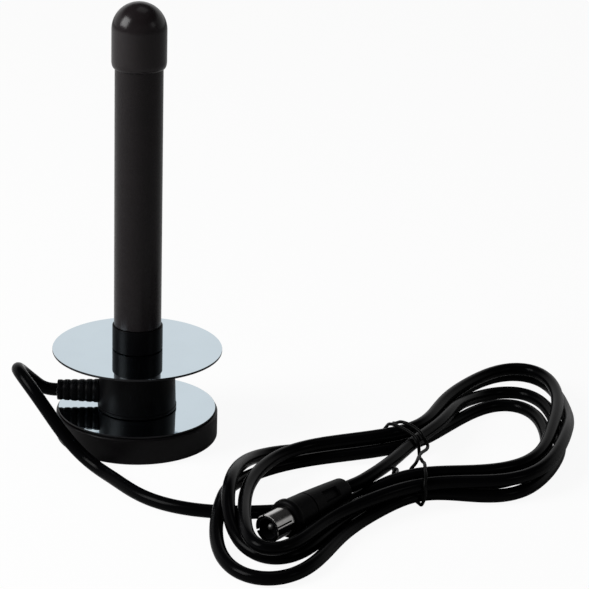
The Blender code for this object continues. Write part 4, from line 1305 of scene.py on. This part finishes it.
@dataclass
class HubAndDisc(SubAssembly):
    """Moulded hub, its cable boot and the reflector disc."""

    foot_height: float = 1.0 * MM
    side_low: float = 13.8 * MM
    side_high: float = 13.3 * MM
    shoulder: float = 2.6 * MM
    shoulder_steps: int = 10
    hub_edge: float = 0.25 * MM
    bore: float = 11.6 * MM
    roof: float = 2.6 * MM
    stud_hole: float = 4.3 * MM
    disc_edge: float = 0.12 * MM
    disc_steepest: float = 0.9
    boot_height: float = 15.9 * MM
    boot_root: float = 12.8 * MM
    boot_root_radius: float = 4.3 * MM
    boot_tip_radius: float = 3.6 * MM
    boot_ribs: int = 6
    rib_pitch: float = 2.65 * MM
    rib_width: float = 1.35 * MM
    rib_depth: float = 0.24 * MM
    rib_slope: float = 0.5 * MM
    rib_round: float = 0.18 * MM
    rib_round_degrees: float = 25.0

    def build(self) -> None:
        """Make the hub, the boot and the disc."""
        self.build_hub()
        self.build_boot()
        self.build_disc()

    def build_hub(self) -> None:
        """Hollow drum with a round shoulder, a foot and a hole for the stud."""
        low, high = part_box("hub_housing")
        foot = low.z + self.foot_height
        drum = [(self.stud_hole, high.z)]
        drum += top_corner(self.side_high, high.z, self.shoulder, self.shoulder_steps)
        drum += [(self.side_low, foot), (high.x, foot), (high.x, low.z), (self.bore, low.z)]
        drum += [(self.bore, high.z - self.roof), (self.stud_hole, high.z - self.roof)]
        hub = Piece("hub_drum").turn(drum + drum[:1], FINE_TURN).soften(self.hub_edge, 2)
        hub.dress(self.finishes.hub, Body.BASE, "hub_black", "hub_housing")

    def taper(self, along: float, tip: float) -> float:
        """The boot's radius at a distance from the hub's axis."""
        share = (along - self.boot_root) / (tip - self.boot_root)
        return self.boot_root_radius + (self.boot_tip_radius - self.boot_root_radius) * share

    def build_boot(self) -> None:
        """Tapered boot with ribs, on the hub's -X side."""
        tip = -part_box("cable_boot")[0].x
        profile = [(0.0, tip)]
        for rib in range(self.boot_ribs):
            crest_out = tip - rib * self.rib_pitch
            crest_in = crest_out - self.rib_width
            groove_in = crest_out - self.rib_pitch
            profile += [(self.taper(crest_out, tip), crest_out), (self.taper(crest_in, tip), crest_in)]
            for place in (crest_in - self.rib_slope, groove_in + self.rib_slope):
                profile.append((self.taper(place, tip) - self.rib_depth, place))
        profile += [(self.taper(groove_in, tip), groove_in), (self.boot_root_radius, self.boot_root)]
        profile += [(0.0, self.boot_root)]
        boot = Piece("ribbed_boot").turn(profile, SMALL_TURN)
        boot.soften(self.rib_round, 2, self.rib_round_degrees)
        boot.move(Matrix.Translation((0.0, 0.0, self.boot_height)) @ Matrix.Rotation(-math.pi / 2, 4, "Y"))
        boot.dress(self.finishes.boot, Body.BASE, "boot_rubber", "cable_boot")

    def build_disc(self) -> None:
        """Mirror disc with a dark rim."""
        low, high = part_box("reflector_disc")
        disc = Piece("reflector_mirror").turn(ring(self.stud_hole, high.x, low.z, high.z), FINE_TURN)
        disc.soften(self.disc_edge, 2)
        disc.dress(self.finishes.mirror, Body.BASE, "mirror_plate", "reflector_disc")
        disc.rim_finish(self.finishes.rim, high.x - self.disc_edge, self.disc_steepest)


@dataclass
class Mast(SubAssembly):
    """Screwed foot with its collar, mast tube and domed cap."""

    socket: float = 4.3 * MM
    socket_top: float = 40.5 * MM
    spigot: float = 6.45 * MM
    rod_hole: float = 1.8 * MM
    collar_top: float = 41.8 * MM
    collar_edge: float = 0.35 * MM
    collar_steps: int = 5
    close_fit: float = 0.2 * MM
    tube_bore: float = 6.75 * MM
    tube_edge: float = 0.15 * MM
    cap_radius: float = 9.5 * MM
    cap_bore: float = 8.65 * MM
    dome_steps: int = 24
    lip_steps: int = 8
    lip: tuple[float, float] = (0.85 * MM, 2.4 * MM)
    pocket: float = 6.0 * MM
    pocket_depth: float = 5.7 * MM

    def build(self) -> None:
        """Make the foot, the tube and the cap."""
        self.build_foot()
        seat = self.build_tube()
        self.build_cap(seat)

    def build_foot(self) -> None:
        """Screwed foot, whose collar shows below the tube."""
        low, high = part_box("mast_foot")
        under = low.z - self.close_fit
        foot = [(self.spigot, high.z), (self.spigot, self.collar_top)]
        foot += top_corner(high.x, self.collar_top, self.collar_edge, self.collar_steps)
        foot += bottom_corner(high.x, under, self.collar_edge, self.collar_steps)
        foot += [(self.socket, under), (self.socket, self.socket_top), (self.rod_hole, self.socket_top)]
        foot += [(self.rod_hole, high.z)]
        collar = Piece("mast_collar").turn(foot + foot[:1], FINE_TURN)
        collar.dress(self.finishes.foot, Body.MAST, "hub_black", "mast_foot")

    def build_tube(self) -> float:
        """Make the plain mast tube.

        Returns:
            The height of its upper end.
        """
        low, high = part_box("mast_tube")
        wall = ring(self.tube_bore, high.x, low.z - self.close_fit, high.z)
        tube = Piece("mast_sleeve").turn(wall, FINE_TURN).soften(self.tube_edge)
        tube.dress(self.finishes.tube, Body.MAST, "mast_black", "mast_tube")
        return high.z

    def build_cap(self, seat: float) -> None:
        """Make the domed cap.

        Args:
            seat: The height of the tube's end, which the cap sits on.
        """
        low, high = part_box("mast_cap")
        dome = (0.0, high.z - self.cap_radius)
        outline = arc(dome, (self.cap_radius, self.cap_radius), 90, 0, self.dome_steps)
        outline[0] = (0.0, high.z)
        lip_middle = (self.cap_radius - self.lip[0], low.z + self.lip[1])
        outline += arc(lip_middle, self.lip, 0, -90, self.lip_steps)
        outline += [(self.cap_bore, low.z), (self.cap_bore, seat), (self.pocket, seat)]
        outline += [(self.pocket, seat + self.pocket_depth), (0.0, seat + self.pocket_depth)]
        cap = Piece("mast_dome_cap").turn(outline, FINE_TURN)
        cap.dress(self.finishes.cap, Body.MAST, "cap_black", "mast_cap")


@dataclass
class CoaxialPlug(SubAssembly):
    """Moulded plug: grip with sunk panels, collar, slotted outer contact with painted shade inside, core and
    a pin darkened as painted shade.
    """

    rear: Triple = (73.0 * MM, -64.6 * MM, 9.7 * MM)
    front: Triple = (48.4 * MM, -95.9 * MM, 9.5 * MM)
    rear_radius: float = 4.3 * MM
    grip_radius: float = 6.0 * MM
    grip_end: float = 24.5 * MM
    groove: float = 0.5 * MM
    groove_depth: float = 0.35 * MM
    barrel_start: float = 19.8 * MM
    panel: tuple[float, float] = (6.5 * MM, 14.5 * MM)
    panel_heading: float = 45.0
    panel_half_angle: float = 24.0
    panel_border: float = 0.3 * MM
    panel_depth: float = 0.9 * MM
    collar_radius: float = 6.6 * MM
    collar_start: float = 28.6 * MM
    collar_end: float = 30.8 * MM
    collar_round: float = 1.4 * MM
    round_steps: int = 8
    round_edge: float = 0.9 * MM
    edge_steps: int = 6
    panel_round: float = 0.18 * MM
    gap: float = 0.3 * MM
    contact_radius: float = 4.75 * MM
    contact_bore: float = 4.1 * MM
    slots: int = 4
    slot_width: float = 0.55 * MM
    slot_heading: float = 22.0
    slot_ring: float = 1.6 * MM
    slot_round: float = 0.12 * MM
    # Limits of the sleeve faces that take the painted shade of the bore finish.
    shade_most_outward: float = 0.3
    shade_most_forward: float = 0.5
    nickel_colour: Colour = (0.5, 0.49, 0.48)
    nickel_roughness: float = 0.1
    core_length: float = 4.5 * MM
    core_edge: float = 0.2 * MM
    liner: float = 0.35 * MM
    liner_short: float = 0.3 * MM
    pin_radius: float = 1.2 * MM
    pin_short: float = 1.0 * MM

    def axis(self) -> Vector:
        """From the middle of the plug's rear face to that of its mating end."""
        return Vector(self.front) - Vector(self.rear)

    def length(self) -> float:
        """The plug's length."""
        return self.axis().length

    def seat(self) -> float:
        """Height of the contact's foot above the plug's rear face."""
        return self.collar_end + self.gap

    def place(self) -> Matrix:
        """Frame at the plug's rear face, with local +Z towards its mating end."""
        return aimed(self.rear, self.axis().normalized())

    def build(self) -> list[Piece]:
        """Make the plug's pieces.

        Returns:
            The pieces, which lie on the cord.
        """
        turning = tuple(self.axis().normalized())
        nickel = TurnedMetal("nickel_plate", self.nickel_colour, self.nickel_roughness, turning)
        grip = self.grip()
        grip.dress(self.finishes.plug, Body.BASE, "plug_black", "plug_body")
        contact = self.contact()
        contact.dress(nickel, Body.BASE, "nickel", "plug_ferrule")
        # Painted shade: the faces inside the sleeve and its slots get the dark bore finish instead of nickel.
        contact.second_finish(self.finishes.bore, self.painted_shade_faces)
        core = self.core()
        core.dress(self.finishes.core, Body.BASE, "plug_black", "plug_insulator")
        pin = self.pin()
        # Painted shade: the nickel pin gets a dark finish that stands in for the shade inside the contact's
        # mouth.
        pin.dress(self.finishes.pin, Body.BASE, "nickel", "plug_pin")
        return [grip, contact, core, pin]

    def painted_shade_faces(self, middle: Vector, normal: Vector) -> bool:
        """Tell whether a face of the sleeve looks at the plug's axis or into a slot, where it takes the
        painted shade.

        Args:
            middle: The face's middle.
            normal: Its normal.

        Returns:
            Whether it does.
        """
        along = self.axis().normalized()
        offset = middle - Vector(self.rear)
        outward = (offset - along * offset.dot(along)).normalized()
        return normal.dot(outward) < self.shade_most_outward and normal.dot(along) < self.shade_most_forward

    def taper(self, height: float) -> float:
        """The grip's radius at a height above the plug's rear face."""
        return self.rear_radius + (self.grip_radius - self.rear_radius) * min(1.0, height / self.grip_end)

    def ring_groove(self, high: float) -> Profile:
        """Outline a ring groove in the grip.

        Args:
            high: Height of its upper edge.

        Returns:
            Its corners, from the top down.
        """
        low = high - self.groove
        floor = self.taper(low) - self.groove_depth
        return [(floor, high), (floor, low), (self.taper(low), low)]

    def on_panel(self, middle: Vector, normal: Vector) -> bool:
        """Tell whether a face of the unplaced grip belongs to one of its two sunk panels.

        Args:
            middle: The face's middle.
            normal: Its normal, which doesn't matter here.

        Returns:
            Whether it does.
        """
        turn = math.degrees(math.atan2(middle.y, middle.x)) - self.panel_heading
        aside = abs((turn + 90.0) % 180.0 - 90.0)
        return self.panel[0] < middle.z < self.panel[1] and aside < self.panel_half_angle

    def grip(self) -> Piece:
        """Make the tapered grip with two sunk panels, two ring grooves and a rounded collar.

        Returns:
            The grip.
        """
        barrel = self.barrel_start + self.groove
        outline = [(0.0, self.collar_end)]
        outline += top_corner(self.collar_radius, self.collar_end, self.collar_round, self.round_steps)
        outline += [(self.collar_radius, self.collar_start)]
        outline += self.ring_groove(self.collar_start)
        outline += [(self.taper(self.barrel_start), barrel)]
        outline += self.ring_groove(barrel)
        outline += [(self.taper(height), height) for height in reversed(self.panel)]
        outline += bottom_corner(self.rear_radius, 0.0, self.round_edge, self.edge_steps)
        outline += [(0.0, 0.0)]
        grip = Piece("plug_grip").turn(outline, MIDDLE_TURN).pick(self.on_panel)
        return grip.inset(self.panel_border, self.panel_depth).soften(self.panel_round, 2).move(self.place())

    def contact(self) -> Piece:
        """Make the thin slotted sleeve.

        Returns:
            The sleeve.
        """
        wall = ring(self.contact_bore, self.contact_radius, self.seat(), self.length())
        sleeve = Piece("plug_contact").turn(wall, MIDDLE_TURN)
        start = self.seat() + self.slot_ring
        size = (4 * self.contact_radius, self.slot_width, self.length() - start + MM)
        for number in range(self.slots // 2):
            slot = Piece("slot_cutter").block(size, (0.0, 0.0, start + size[2] / 2))
            slot.move(Matrix.Rotation(math.radians(self.slot_heading) + math.pi * number / 2, 4, "Z"))
            sleeve.cut(slot)
        return sleeve.soften(self.slot_round, 2).move(self.place())

    def core(self) -> Piece:
        """Make the insulator round the pin, with a thin liner that goes up inside the sleeve.

        Returns:
            The insulator.
        """
        outer = self.contact_bore - self.gap
        inner = outer - self.liner
        mouth = self.length() - self.liner_short
        seat = self.seat()
        outline = [(inner, mouth), (outer, mouth), (outer, seat), (self.pin_radius, seat)]
        outline += [(self.pin_radius, seat + self.core_length), (inner, seat + self.core_length)]
        core = Piece("plug_dielectric").turn(outline + outline[:1], SMALL_TURN)
        return core.soften(self.core_edge).move(self.place())

    def pin(self) -> Piece:
        """Make the centre pin with a round nose.

        Returns:
            The pin.
        """
        tip = self.length() - self.pin_short
        nose = (self.pin_radius, self.pin_radius)
        outline = [(0.0, self.seat()), (self.pin_radius, self.seat())]
        outline += arc((0.0, tip - self.pin_radius), nose, 0, 90, self.round_steps)
        outline[-1] = (0.0, tip)
        return Piece("plug_centre_pin").turn(outline, SMALL_TURN).move(self.place())


@dataclass
class InnerWorks(SubAssembly):
    """Finishes of the frame's nodes that keep their own solid, inside the antenna or under it."""

    def dress(self) -> None:
        """Give each node its material."""
        brass = self.finishes.brass.material()
        steel = self.finishes.steel.material()
        dielectric = self.finishes.dielectric.material()
        looks = {
            "base_pad": self.finishes.pad.material(), "base_magnet": self.finishes.ferrite.material(),
            "magnet_yoke": steel, "base_screw_1": steel, "base_screw_2": steel, "base_screw_3": steel,
            "circuit_board": self.finishes.board.material(), "matching_coil": self.finishes.copper.material(),
            "cable_core": dielectric, "feed_insulator": dielectric, "hub_stud": brass, "feed_barrel": brass,
            "feed_plunger": brass, "radiator_rod": brass,
            "rod_spacer": self.finishes.foam.material(),
        }
        for node, look in looks.items():
            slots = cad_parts[node].data.materials
            slots.clear()
            slots.append(look)
            LOG.info("%s keeps its solid", node)


def main() -> None:
    """Build the camera, the cord, every sub-assembly and the studio."""
    logging.basicConfig(level=logging.INFO, format="%(name)s: %(message)s")
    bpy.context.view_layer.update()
    finishes = Finishes()
    PhotoCamera().build()
    lead = Lead(finishes)
    cable, tie = lead.build()
    plug = CoaxialPlug(finishes).build()
    PuckBase(finishes).build()
    HubAndDisc(finishes).build()
    Mast(finishes).build()
    InnerWorks(finishes).dress()
    Studio().build()


if __name__ == "__main__":
    main()
